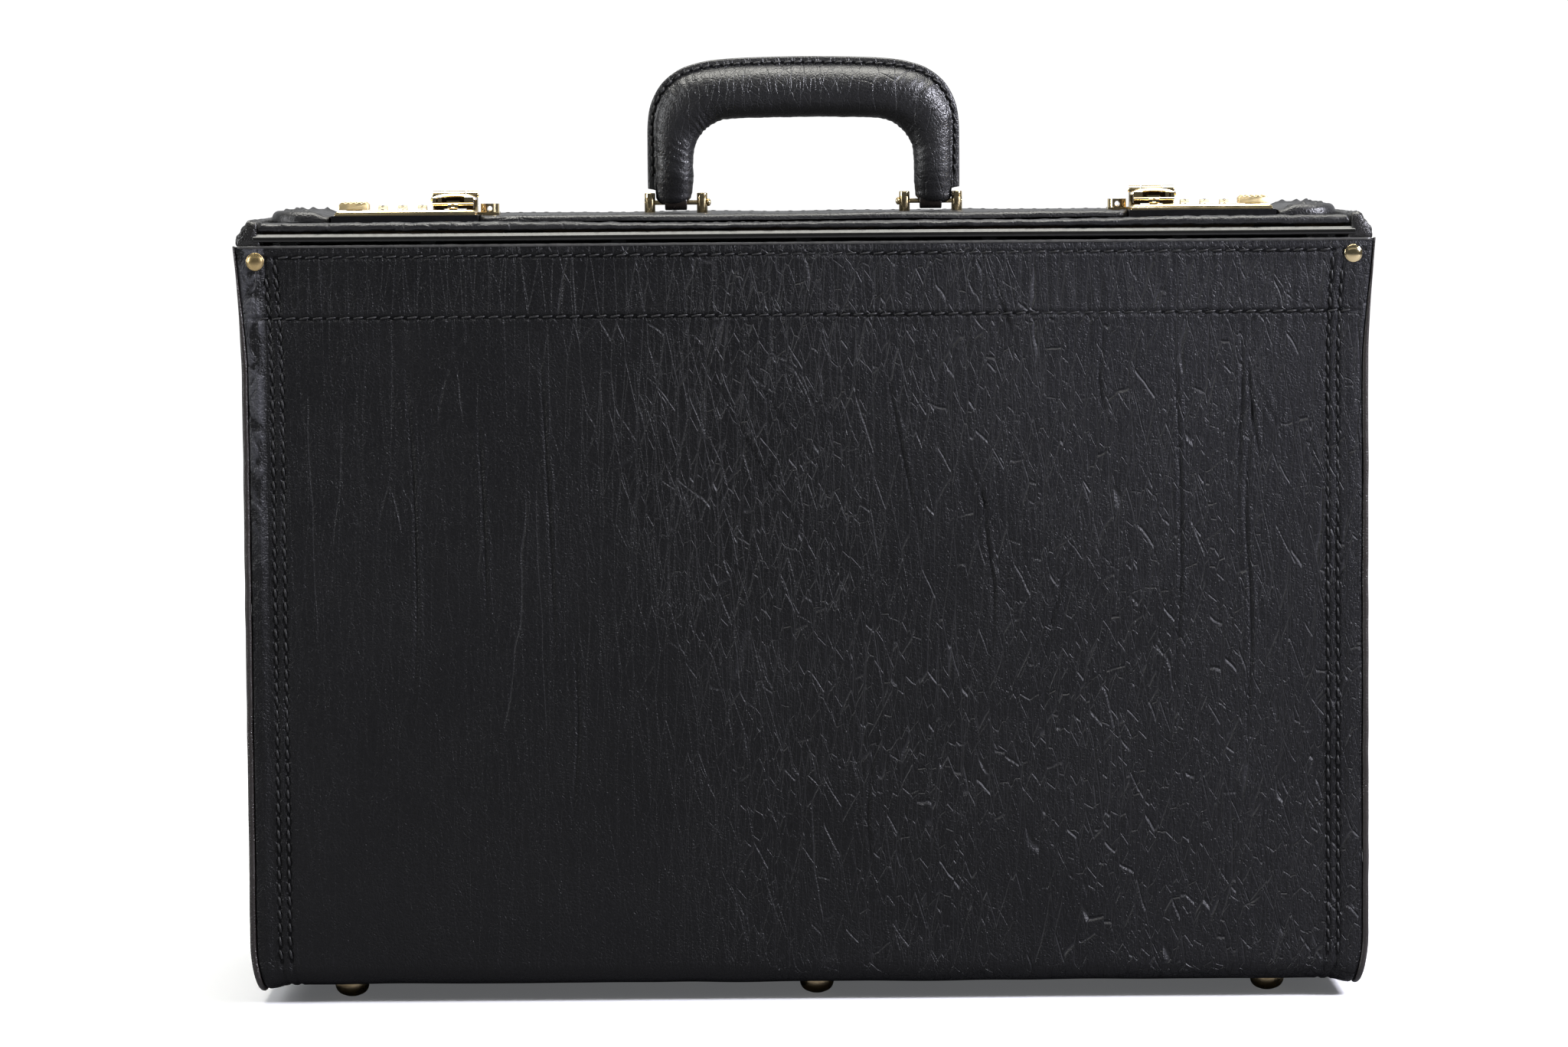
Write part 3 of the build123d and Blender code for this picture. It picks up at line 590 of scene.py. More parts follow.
# a darker, rougher gold, used on the left rivets
M_GOLD_DARK_LEFT = gold("gold_darker_left", col=(0.72, 0.54, 0.26), dark=(0.20, 0.12, 0.05), rough=0.28, age=0.75)
M_GOLD_SATIN = gold("gold_satin", col=(0.80, 0.64, 0.38), dark=(0.42, 0.29, 0.13), rough=0.30, age=0.4)
M_BAR = plain_metal("hinge_bar_lacquer", (0.012, 0.012, 0.011), rough=0.20, spec=0.55)
# painted highlight: the rim piping is coloured light grey
M_PIPE_HIGHLIGHT = plain_metal("piping_edge_highlight", (0.085, 0.084, 0.080), rough=0.36, spec=0.6, bumpd=0.00006)
M_PLATE = gold("gold_plate", col=(0.84, 0.69, 0.40), dark=(0.55, 0.39, 0.17), rough=0.17, age=0.3)
M_SATIN = gold("gold_slider", col=(0.88, 0.71, 0.40), dark=(0.60, 0.43, 0.19), rough=0.38, age=0.3)
M_HASP_SHADE = plain_metal("hasp_inside_shade", (0.055, 0.034, 0.014), rough=0.3, metallic=0.8)
M_EYE = plain_metal("eye_dark", (0.020, 0.015, 0.012), rough=0.25, spec=0.6)
M_SHADE = plain_metal("shadow_black", (0.004, 0.004, 0.0045), rough=0.7, spec=0.1)
M_BLACK = plain_metal("black_enamel", (0.010, 0.010, 0.011), rough=0.16)
M_ROD = plain_metal("rod_enamel", (0.035, 0.035, 0.032), rough=0.14)
M_STEEL = plain_metal("steel", (0.45, 0.45, 0.46), rough=0.3, metallic=1.0)
M_DIAL = plain_metal("dial_ivory", (0.58, 0.50, 0.33), rough=0.26, dark=(0.46, 0.37, 0.22))
M_INK = plain_metal("dial_ink", (0.006, 0.006, 0.006), rough=0.35)
M_CLOTH = cloth("lining_cloth")
M_WOOD = wood("board")
M_THREAD = threadmat("thread")

# ---------------------------------------------------------------------------
# key sizes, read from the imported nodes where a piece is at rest
# ---------------------------------------------------------------------------


def nb(node):
    lo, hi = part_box(node)
    return np.array(lo) / S, np.array(hi) / S


w_lo, w_hi = nb("outer_wrap")
HD = w_hi[1]                 # 82.5
Z_TOP = w_hi[2]              # 305
Z_BOT = w_lo[2]              # 7
HW, HTOP = 225.0, w_hi[0]    # 225, 228
WR = 9.0
BEAD = 2.5

ROW1_Z, ROW2_Z = 300.5, 276.2
COL_OUT, COL_IN = 9.75, 13.75


def half_w(z):
    """Half width of the case seen from the front, at height z."""
    z = np.asarray(z, float)
    w = HW + (HTOP - HW) * np.clip((z - 250.0) / 55.5, 0, 1) ** 1.8
    k = np.clip((26.0 - z) / 21.0, 0, 0.985)
    return np.where(z < 26.0, HW - 6.6 + 6.6 * np.sqrt(1 - k * k), w)


def bead_w(z):
    """Width of the edge bead seen from the front: only a thin line near the rim."""
    return BEAD - 1.75 * smoothstep(255.0, 297.0, np.asarray(z, float))


# ---------------------------------------------------------------------------
# outer wrap: front panel, bottom and back panel in one skin
# ---------------------------------------------------------------------------


def wrap_path():
    """(y, z, ny, nz, s) along the outside of the wrap from the front rim round to the back rim."""
    pts = []
    r = 1.1
    # rolled top edge of the front panel
    for a in np.linspace(0, 90, 6):
        pts.append((-HD + 2 * r - r - r * math.cos(math.radians(180 - a)) * -1 if False else -HD + r + r * math.cos(math.radians(a)),
                    Z_TOP - r + r * math.sin(math.radians(a))))
    for a in np.linspace(108, 180, 5):
        pts.append((-HD + r + r * math.cos(math.radians(a)), Z_TOP - r + r * math.sin(math.radians(a))))
    zs = axis_pts(Z_BOT + WR, Z_TOP - r - 0.2, 2.4, fine=(ROW1_Z, ROW2_Z), fine_step=0.35, fine_half=2.4)[::-1]
    for z in zs:
        pts.append((-HD, z))
    for a in np.linspace(180, 270, 10)[1:]:
        pts.append((-HD + WR + WR * math.cos(math.radians(a)), Z_BOT + WR + WR * math.sin(math.radians(a))))
    for y in np.linspace(-HD + WR, 0, 24)[1:]:
        pts.append((y, Z_BOT))
    half = pts[:]
    for y, z in reversed(half[:-1]):
        pts.append((-y, z))
    p = np.array(pts)
    d = np.gradient(p, axis=0)
    d /= np.linalg.norm(d, axis=1)[:, None]
    n = np.stack([d[:, 1], -d[:, 0]], axis=1)      # outward for this direction of travel
    n = np.stack([-(-d[:, 1]), -d[:, 0]], axis=1)
    s = np.r_[0, np.cumsum(np.linalg.norm(np.diff(p, axis=0), axis=1))]
    # make sure that the normal points outwards on the front panel
    k = np.argmin(np.abs(p[:, 1] - 150) + np.where(p[:, 0] < 0, 0, 1000))
    if n[k, 0] > 0:
        n = -n
    return p, n, s


WP, WN, WS = wrap_path()
edge_t = axis_pts(0.0, 20.0, 1.0, fine=(COL_OUT, COL_IN, 0.8), fine_step=0.33, fine_half=1.5)
mid = np.linspace(0, 1, 640)


CREASES = [  # (x, z) polylines in mm on the front panel: long, mostly upright folds in the leather
    [(147, 270), (149, 235), (150, 190), (149, 150), (146, 122)],
    [(70, 214), (72, 190), (75, 165), (74, 142)],
    [(-160, 262), (-157, 215), (-156, 160), (-158, 120)],
    [(-131, 240), (-129, 200), (-128, 150)],
    [(-106, 268), (-104, 230), (-102, 180), (-101, 130)],
    [(-93, 150), (-92, 110), (-95, 70)],
    [(-46, 272), (-28, 235), (-8, 200), (12, 172)],
    [(-32, 270), (-10, 236), (8, 212)],
    [(-20, 268), (4, 240), (26, 220)],
    [(110, 200), (100, 160), (92, 130)],
    [(180, 255), (176, 200), (178, 150), (175, 90)],
    [(30, 120), (24, 80), (26, 50)],
    [(174.3, 272), (174.6, 250), (173.7, 228.5), (172.4, 188.8)],
    [(176.7, 262), (178.0, 240), (182.2, 212.6)],
    [(179.5, 250), (186.0, 236), (195.5, 219)],
    [(199.3, 230), (204.0, 216), (210.2, 201.3)],
    [(32.0, 258), (38.0, 225), (45.5, 186)],
    [(63.0, 223), (69.5, 206), (77.0, 186)],
    [(72.0, 297), (78.0, 282), (85.4, 262)],
    [(120.0, 272), (117.5, 250), (121.0, 232)],
]


def crease_field(X, Z):
    out = np.zeros_like(X)
    for i, line in enumerate(CREASES):
        c = catmull(line, 6)
        best = np.full(X.shape, 1e9)
        tt = np.zeros_like(X)
        for k in range(len(c) - 1):
            a, b = c[k], c[k + 1]
            ab = b - a
            t = np.clip(((X - a[0]) * ab[0] + (Z - a[1]) * ab[1]) / (ab @ ab), 0, 1)
            dx = X - (a[0] + t * ab[0])
            dz = Z - (a[1] + t * ab[1])
            d = np.sqrt(dx * dx + dz * dz) * np.sign(dx + 1e-9)
            m_ = np.abs(d) < np.abs(best)
            best = np.where(m_, d, best)
            tt = np.where(m_, (k + t) / (len(c) - 1), tt)
        fade = np.sin(np.pi * np.clip(tt, 0.02, 0.98)) ** 0.6
        out += fade * (-0.42 * np.exp(-(best / 0.65) ** 2) + 0.30 * np.exp(-((best - 1.4) / 0.8) ** 2)
                       + 0.16 * np.exp(-((best + 1.6) / 1.1) ** 2))
    return out


def wrap_disp(X, T, side_sign, yz, s):
    """Height of the leather above the plain skin. T is the distance in from the wrap's edge."""
    y, z = yz[:, 0][:, None] * np.ones_like(X), yz[:, 1][:, None] * np.ones_like(X)
    d = 0.22 * wave(X, s[:, None] * np.ones_like(X), 95, 3) + 0.10 * wave(X, s[:, None] * np.ones_like(X), 38, 4)
    up = (np.abs(y) > HD - 0.5)
    # short upright wrinkles gathered by the two seams near the rim
    near = np.exp(-np.clip(ROW2_Z - z, 0, 400) / 9.0) * (z < ROW2_Z) + (z >= ROW2_Z) * 0.8
    amt = 0.6 + 0.4 * smoothstep(-20, 80, X)
    d = d + up * near * amt * 0.15 * wave(X * 1.0, z * 0.16, 6.0, 9) * (z < ROW1_Z - 1)
    # seams
    for c in (ROW1_Z, ROW2_Z):
        q = np.exp(-((z - c) / 0.85) ** 2) * up * (T > 2)
        hole = 0.5 - 0.5 * np.cos(2 * np.pi * X / 5.4)
        d = d - q * (0.30 + 0.16 * hole)
        d = d + 0.13 * np.exp(-((np.abs(z - c) - 2.2) / 1.3) ** 2) * up
    side = (z < ROW1_Z + 0.5)
    for c in (COL_OUT, COL_IN):
        q = np.exp(-((T - c) / 0.85) ** 2) * side
        hole = 0.5 - 0.5 * np.cos(2 * np.pi * s[:, None] / 5.4)
        d = d - q * (0.30 + 0.16 * hole)
    d = d + side * 0.10 * np.exp(-((T - (COL_OUT + COL_IN) / 2) / 1.1) ** 2)
    # the border strip swells over the frame inside it, and rolls into the edge
    d = d + 0.30 * np.exp(-((T - 4.6) / 2.6) ** 2)
    roll = np.clip(1 - T / 1.8, 0, 1)
    d = d - 1.15 * (1 - np.sqrt(np.clip(1 - roll ** 2, 0, 1)))
    # the border strips hang a little lower than the bottom between them
    d = d + 1.7 * np.exp(-(T / 5.5) ** 2) * smoothstep(17.0, 8.0, z)
    # puckers beside the stitches
    ph_x = 0.5 - 0.5 * np.cos(2 * np.pi * X / 5.4 + 0.9)
    for c in (ROW1_Z, ROW2_Z):
        d = d + 0.20 * ph_x ** 2 * up * (T > 2) * (np.exp(-((z - c + 1.5) / 0.8) ** 2) + 0.6 * np.exp(-((z - c - 1.5) / 0.8) ** 2))
    ph_s = 0.5 - 0.5 * np.cos(2 * np.pi * s[:, None] / 5.4 + 0.9)
    for c in (COL_OUT, COL_IN):
        d = d + 0.16 * ph_s ** 2 * side * (np.exp(-((T - c + 1.2) / 0.7) ** 2) + 0.7 * np.exp(-((T - c - 1.2) / 0.7) ** 2))
    front = up & (y < 0)
    d = d + np.where(front, crease_field(X, z), 0)
    back = up & (y > 0)
    d = d + np.where(back, crease_field(-X * 0.97 + 9, z * 1.02 - 4), 0)
    return d


def build_wrap():
    w = half_w(WP[:, 1]) - BEAD
    gap = BEAD - bead_w(WP[:, 1])
    cols, Ts = [], []
    for t in edge_t:
        cols.append(-(w - t + gap * max(0.0, 1 - t / 8.0)))
        Ts.append(np.full(len(w), t))
    for u in mid[1:-1]:
        x0, x1 = -(w - 20.0), (w - 20.0)
        x = x0 + (x1 - x0) * u
        cols.append(x)
        Ts.append(w - np.abs(x))
    for t in edge_t[::-1]:
        cols.append(w - t + gap * max(0.0, 1 - t / 8.0))
        Ts.append(np.full(len(w), t))
    X = np.stack(cols, axis=1)
    T = np.stack(Ts, axis=1)
    d = wrap_disp(X, T, 0, WP, WS)
    # keep the rolled rims calm
    rim = smoothstep(Z_TOP - 0.6, Z_TOP - 3.0, WP[:, 1])[:, None]
    d = d * rim
    Y = WP[:, 0][:, None] + WN[:, 0][:, None] * d
    Z = WP[:, 1][:, None] + WN[:, 1][:, None] * d
    P = np.stack([X, Y, Z], axis=2)
    # turn the side edges inwards
    for s_ in (0, 1):
        edge = P[:, 0 if s_ == 0 else -1].copy()
        ins = edge.copy()
        ins[:, 1] -= WN[:, 0] * 2.0
        ins[:, 2] -= WN[:, 1] * 2.0
        P = np.concatenate([ins[:, None], P], axis=1) if s_ == 0 else np.concatenate([P, ins[:, None]], axis=1)
    return P


WPTS = build_wrap()
wrap = grid("wrap_leather", WPTS, M_PANEL, body="case", slot="leather_black", replaces=("outer_wrap",), flip=False)


def wrap_point(x, z, back=False, lift=0.0):
    y = HD + lift
    return (x, y if back else -y, z)


rows = []
for back in (False, True):
    n = (0, 1, 0) if back else (0, -1, 0)
    we = float(half_w(ROW1_Z)) - BEAD
    xs = np.linspace(-we + 13.0, we - 13.0, 160)
    rows.append(([wrap_point(x, ROW1_Z, back, -0.25) for x in xs], n))
    we = float(half_w(ROW2_Z)) - BEAD
    xs = np.linspace(-we + 4.5, we - 4.5, 160)
    rows.append(([wrap_point(x, ROW2_Z, back, -0.25) for x in xs], n))
    for sgn in (-1, 1):
        zs = np.linspace(294.0, 17.0, 200)
        rows.append(([wrap_point(sgn * (float(half_w(z)) - BEAD - COL_OUT), z, back, -0.25) for z in zs], n))
        zs = np.linspace(299.5, 17.0, 200)
        rows.append(([wrap_point(sgn * (float(half_w(z)) - BEAD - COL_IN), z, back, -0.25) for z in zs], n))
thread("panel_stitches", rows, M_THREAD, "case", r=0.46)
holes("panel_needle_holes", rows, M_SHADE, "case")
for sgn in (-1, 1):
    pass
rows = []
for sgn in (-1, 1):
    for c in (COL_OUT, COL_IN):
        we = float(half_w(Z_BOT)) - BEAD - c
        ys = np.linspace(-HD + 11, HD - 11, 60)
        rows.append(([(sgn * we, y, Z_BOT + 0.25) for y in ys], (0, 0, -1)))
thread("bottom_stitches", rows, M_THREAD, "case")

# edge beads: a burnished folded edge outside a groove, following the whole U
for sgn, tag in ((-1, "left"), (1, "right")):
    keep = [i for i in range(len(WP)) if WP[i, 1] < Z_TOP - 1.2]
    st = [(WP[i, 0], WP[i, 1], WN[i, 0], WN[i, 1], WS[i]) for i in keep]
    st = [(-HD, Z_TOP + 0.2, -1.0, 0.0, WS[keep[0]] - 1.5)] + st + [(HD, Z_TOP + 0.2, 1.0, 0.0, WS[keep[-1]] + 1.5)]
    nv = 18
    P = np.zeros((len(st), nv, 3))
    for a, (py, pz, ny, nz, ss) in enumerate(st):
        bw = float(bead_w(pz))
        jx = 0.08 * wave(np.array([ss]), np.array([5.0 * sgn]), 26, 21)[0]
        rx = bw / 2 + 0.05
        ry = 1.55
        low = 2.1 * float(smoothstep(18.0, 8.0, np.array(pz)))
        cx = float(half_w(pz)) - bw / 2
        cy, cz = py - ny * (ry - 0.12 - low), pz - nz * (ry - 0.12 - low)
        for k in range(nv):
            q = 2 * math.pi * k / nv
            c_, s_ = math.cos(q), math.sin(q)
            e_ = (abs(c_) ** 2.6 + abs(s_) ** 2.6) ** (-1 / 2.6)
            P[a, k] = (sgn * (cx + rx * c_ * e_ + jx), cy + ny * ry * s_ * e_, cz + nz * ry * s_ * e_)
    grid("edge_bead_" + tag, P, M_BEAD, close_v=True, caps=True, flip=sgn < 0, body="case", slot="leather_trim",
         replaces=("rim_bead_" + tag,))

# side walls: soft panels set in between the two edges
for sgn, tag in ((-1, "left"), (1, "right")):
    g_lo, g_hi = nb("side_gusset_" + tag)
    ys = axis_pts(-80.2, 80.2, 3.0)
    zs = axis_pts(9.4, 303.0, 3.0)
    Y, Z = np.meshgrid(ys, zs, indexing="ij")
    t = np.minimum(80.2 - np.abs(Y), Z - 9.4)
    puff = 0.9 * smoothstep(0, 14, t) + 0.35 * wave(Y, Z, 70, 31 + sgn) * smoothstep(2, 25, t)
    X = sgn * (221.3 + puff + 0.10 * wave(Y, Z, 22, 33))
    grid("side_wall_" + tag, np.stack([X, Y, Z], axis=2), M_SIDE, body="case", slot="leather_black",
         replaces=("side_gusset_" + tag,), flip=sgn < 0)
    rows = []
    zz = np.linspace(296.0, 22.0, 200)
    for yy in (-76.5, 76.5):
        rows.append(([(sgn * 221.75, yy, z) for z in zz], (sgn, 0, 0)))
    yy = np.linspace(-72.0, 72.0, 100)
    rows.append(([(sgn * 221.75, y, 14.2) for y in yy], (sgn, 0, 0)))
    thread("side_stitches_" + tag, rows, M_THREAD, "case")

# ---------------------------------------------------------------------------
# simple CAD nodes keep their shape and take their materials
# ---------------------------------------------------------------------------


def paint(node, mat):
    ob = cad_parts[node]
    ob = ob if hasattr(ob, "data") else bpy.data.objects[ob]
    for sl in ob.material_slots:
        sl.material = mat
    if not ob.material_slots:
        ob.data.materials.append(mat)


for n_ in ("front_board", "back_board", "bottom_board", "side_board_left", "side_board_right", "lid_board_front",
           "lid_board_rear", "handle_core"):
    paint(n_, M_WOOD)
for n_ in ("wall_lining", "floor_lining", "lid_lining_front", "lid_lining_rear"):
    paint(n_, M_CLOTH)
for n_ in ("foot_washers", "handle_backing_plates", "dial_axles"):
    paint(n_, M_STEEL)
for n_ in ("frame_rail_front", "frame_rail_rear"):
    paint(n_, M_BLACK)
for sy, tag in ((-1, "front"), (1, "rear")):
    lo_, hi_ = nb("hinge_rod_" + tag)
    pr = [(79.0, 306.7), (82.2, 306.6), (82.75, 306.9), (82.95, 307.5), (82.95, 308.35), (82.8, 308.65), (81.75, 309.75), (81.4, 309.9), (79.0, 310.0)]
    xs_ = [lo_[0], lo_[0] + 0.3] + list(np.linspace(lo_[0] + 6, hi_[0] - 6, 60)) + [hi_[0] - 0.3, hi_[0]]
    V, F = [], []
    for j, xx in enumerate(xs_):
        kx = 0.88 if j in (0, len(xs_) - 1) else 1.0
        dy = 0.05 * math.sin(xx / 31.0)
        for yy, zz in pr:
            V.append((xx, sy * (81.0 + (yy - 81.0) * kx + dy), 308.3 + (zz - 308.3) * kx + 0.08 * math.sin(xx / 47.0 + 1)))
    n_p = len(pr)
    for j in range(len(xs_) - 1):
        for k in range(n_p):
            kk = (k + 1) % n_p
            F.append((j * n_p + k, (j + 1) * n_p + k, (j + 1) * n_p + kk, j * n_p + kk))
    F.append(tuple(range(n_p)))
    F.append(tuple((len(xs_) - 1) * n_p + k for k in reversed(range(n_p))))
    ob = make("hinge_bar_" + tag, V, F, M_BAR, smooth=False, body="case", slot="black_metal", replaces=("hinge_rod_" + tag,))
    bm = bmesh.new()
    bm.from_mesh(ob.data)
    bmesh.ops.recalc_face_normals(bm, faces=bm.faces)
    bm.to_mesh(ob.data)
    bm.free()
    # piping along the panel's rim, coloured far lighter than the leather as a painted highlight on the rim
    xs_ = np.linspace(-226.0, 226.0, 220)
    P = np.zeros((len(xs_), 10, 3))
    for j, xx in enumerate(xs_):
        rr = 0.62 + 0.07 * wave(np.array([xx]), np.array([3.0]), 5.0, 77)[0]
        for k in range(10):
            q = 2 * math.pi * k / 10
            P[j, k] = (xx, sy * (82.15 + rr * math.cos(q)), 304.75 + rr * math.sin(q))
    grid("panel_piping_" + tag, P, M_PIPE_HIGHLIGHT, close_v=True, caps=True, flip=sy > 0, body="case", slot="leather_trim")
for sy, tag, bod in ((-1, "front", "front_lid"), (1, "rear", "rear_lid")):
    V, F = [], []
    for cx in (-188, -112, -36, 36, 112, 188):
        pr = [(79.0, 310.35), (77.4, 310.3), (76.9, 309.4), (77.0, 307.0), (77.6, 306.3), (79.2, 306.2), (79.4, 306.55),
              (78.3, 306.9), (77.9, 307.6), (77.9, 309.2), (78.3, 309.8), (79.1, 310.0)]
        b = len(V)
        xs_ = (cx - 8.0, cx - 7.7, cx + 7.7, cx + 8.0)
        for j, xx in enumerate(xs_):
            kx = 0.9 if j in (0, 3) else 1.0
            for (yy, zz) in pr:
                V.append((xx, sy * (78.1 + (yy - 78.1) * kx), 308.3 + (zz - 308.3) * kx))
        n_p = len(pr)
        for j in range(3):
            for k in range(n_p):
                kk = (k + 1) % n_p
                F.append((b + j * n_p + k, b + (j + 1) * n_p + k, b + (j + 1) * n_p + kk, b + j * n_p + kk))
        F.append(tuple(b + k for k in range(n_p)))
        F.append(tuple(b + 3 * n_p + k for k in reversed(range(n_p))))
    make("hinge_clips_slim_" + tag, V, F, M_BLACK, body=bod, slot="black_metal", replaces=("hinge_clips_" + tag,))

# ---------------------------------------------------------------------------
# rim: leather-covered side frames and folded corner caps
# ---------------------------------------------------------------------------
SEC = [(216.7, 303.2), (216.7, 307.0), (218.1, 307.4), (218.0, 314.3), (218.5, 315.1), (219.4, 315.4), (221.2, 315.35),
       (222.4, 314.4), (224.2, 312.1), (225.9, 309.6), (226.5, 308.2), (226.6, 305.6), (226.1, 304.0), (225.2, 303.2)]


def rim_piece(name, sgn, y0, y1, seed, close0, close1, folds, mat, repl, overhang=False):
    sec = resample(np.array(SEC + [SEC[0]]), n=57)[:-1]
    cx, cz = sec.mean(axis=0)
    ys = axis_pts(y0, y1, 1.0, fine=(y0, y1), fine_step=0.3, fine_half=2.0)
    P = np.zeros((len(ys), len(sec), 3))
    for i, y in enumerate(ys):
        k = 1.0
        for end, on in ((y0, close0), (y1, close1)):
            if on:
                t = np.clip(1 - abs(y - end) / on, 0, 1)
                k = min(k, math.sqrt(max(0.02, 1 - t * t)))
        x = cx + (sec[:, 0] - cx) * (0.5 + 0.5 * k) if on else sec[:, 0]
        x = cx + (sec[:, 0] - cx) * (1 - 0.22 * (1 - k))
        z = cz + (sec[:, 1] - cz) * (1 - 0.30 * (1 - k))
        if overhang and abs(y) > 80.2:
            z = np.maximum(z, 305.1)
        ang = np.arctan2(sec[:, 1] - cz, sec[:, 0] - cx) * 8
        out = (sec[:, 0] > 218.3) & (sec[:, 1] > 304)
        w = folds * (0.16 * wave(np.full(len(sec), y), ang, 6.5, seed) + 0.10 * wave(np.full(len(sec), y) * 2, ang, 3.2, seed + 1)) * out
        x = x + w * np.cos(ang / 8)
        z = z + w * np.sin(ang / 8)
        P[i, :, 0] = sgn * x
        P[i, :, 1] = y
        P[i, :, 2] = z
    return grid(name, P, mat, close_v=True, caps=True, flip=(sgn < 0), body="case", slot="leather_trim", replaces=repl)


for sgn, tag in ((-1, "left"), (1, "right")):
    rim_piece("side_rim_" + tag, sgn, -62.3, 62.3, 41 + sgn, 0.0, 0.0, 0.9, M_TRIM, ("side_frame_" + tag,))
    for sy, ft in ((-1, "front"), (1, "rear")):
        y0, y1 = (-82.5, -61.6) if sy < 0 else (61.6, 82.5)
        rim_piece("corner_%s_%s" % (ft, tag), sgn, y0, y1, 50 + 3 * sgn + sy, 2.4 if sy < 0 else 1.0,
                  2.4 if sy > 0 else 1.0, 1.9, M_TRIM, ("corner_caps",), overhang=True)
    # the ledge under the lid's end stays as a plain strip
    zs = [303.4, 309.3]
    P = np.array([[[sgn * 213.7, y, 303.4], [sgn * 213.7, y, 309.2], [sgn * 214.0, y, 309.4], [sgn * 218.2, y, 309.4]]
                  for y in np.linspace(-62, 62, 60)])
    grid("lid_ledge_" + tag, P, M_TRIM, body="case", slot="leather_trim", flip=(sgn > 0))

# ---------------------------------------------------------------------------
# lids: leather covers with a rolled, wrinkled lip
# ---------------------------------------------------------------------------


def lid_cover(name, sy, edge, top, body, repl, seed):
    prof = [(sy * 76.5, 311.3), (sy * 78.5, 310.95), (sy * 80.2, 310.75), (sy * 81.2, 311.0), (sy * 81.75, 311.9),
            (sy * 81.7, 313.0), (sy * 81.0, 313.95), (sy * 79.6, 314.45), (sy * 77.8, 314.3), (sy * 76.0, 313.75),
            (sy * 74.0, top + 0.3), (sy * 71.0, top + 0.05)]
    prof = catmull(prof, 5)
    lip_n = len(prof)
    flat = [(y, top) for y in np.linspace(sy * 69.5, edge + sy * 1.6, 44)]
    tail = [(edge + sy * 0.7, top - 0.12), (edge + sy * 0.1, top - 0.6), (edge, top - 1.4), (edge, 310.4), (edge + sy * 0.4, 309.85)]
    prof = np.vstack([prof, flat, tail])
    d = np.gradient(prof, axis=0)
    d /= np.linalg.norm(d, axis=1)[:, None]
    n = np.stack([-d[:, 1], d[:, 0]], axis=1)
    if n[lip_n + 10, 1] < 0:
        n = -n
    s = np.r_[0, np.cumsum(np.linalg.norm(np.diff(prof, axis=0), axis=1))]
    L = 217.6
    xs = axis_pts(-L, L, 1.4, fine=(-L, L), fine_step=0.25, fine_half=1.6)
    P = np.zeros((len(xs), len(prof), 3))
    lipw = np.r_[np.ones(lip_n), np.zeros(len(flat) + len(tail))]
    lipw = np.convolve(lipw, np.ones(7) / 7, mode="same")
    lipw[:3] = 1
    for i, x in enumerate(xs):
        t = np.clip(1 - (L - abs(x)) / 1.4, 0, 1)
        k = math.sqrt(max(0.03, 1 - t * t))
        xx = np.full(len(prof), x)
        w = lipw * (0.16 * wave(xx, s * 1.2, 9, seed) + 0.10 * wave(xx, s * 0.8, 4.2, seed + 1))
        w = w + (1 - lipw) * (0.10 * wave(xx, s, 40, seed + 2) + 0.05 * wave(xx, s, 9, seed + 3))
        w = w * smoothstep(0, 3, L - abs(x))
        y = prof[:, 0] + n[:, 0] * w
        z = prof[:, 1] + n[:, 1] * w
        sag = 1.25 * math.cos(math.pi * x / (2 * L)) ** 2 + 0.25 * math.sin(x / 23.0 + seed)
        z = z - np.clip(sag, 0, 2) * np.clip((z - 311.6) / 2.8, 0, 1) * lipw
        zc = 311.2
        z = zc + (z - zc) * k
        P[i] = np.stack([xx, y, z], axis=1)
    return grid(name, P, M_LID, body=body, slot="leather_black", replaces=repl, flip=(sy > 0))


fl_lo, fl_hi = nb("lid_cover_front")
rl_lo, rl_hi = nb("lid_cover_rear")
lid_cover("lid_leather_front", -1, fl_hi[1], 312.7, "front_lid", ("lid_cover_front",), 60)
lid_cover("lid_leather_rear", 1, rl_lo[1], 313.1, "rear_lid", ("lid_cover_rear",), 70)
rows = [([(x, -70.8, 312.72) for x in np.linspace(-213, 213, 120)], (0, 0, 1))]
thread("lid_stitches_front", rows, M_THREAD, "front_lid", r=0.36, length=3.9)
rows = [([(x, 70.8, 313.12) for x in np.linspace(-213, 213, 120)], (0, 0, 1))]
thread("lid_stitches_rear", rows, M_THREAD, "rear_lid", r=0.36, length=3.9)

# ---------------------------------------------------------------------------
# padded flap
# ---------------------------------------------------------------------------
f_lo, f_hi = nb("top_flap")
FX, FY, FZ0 = f_hi[0], f_hi[1], f_lo[2]
NX0, NX1, NY = 131.2, 192.8, -26.2


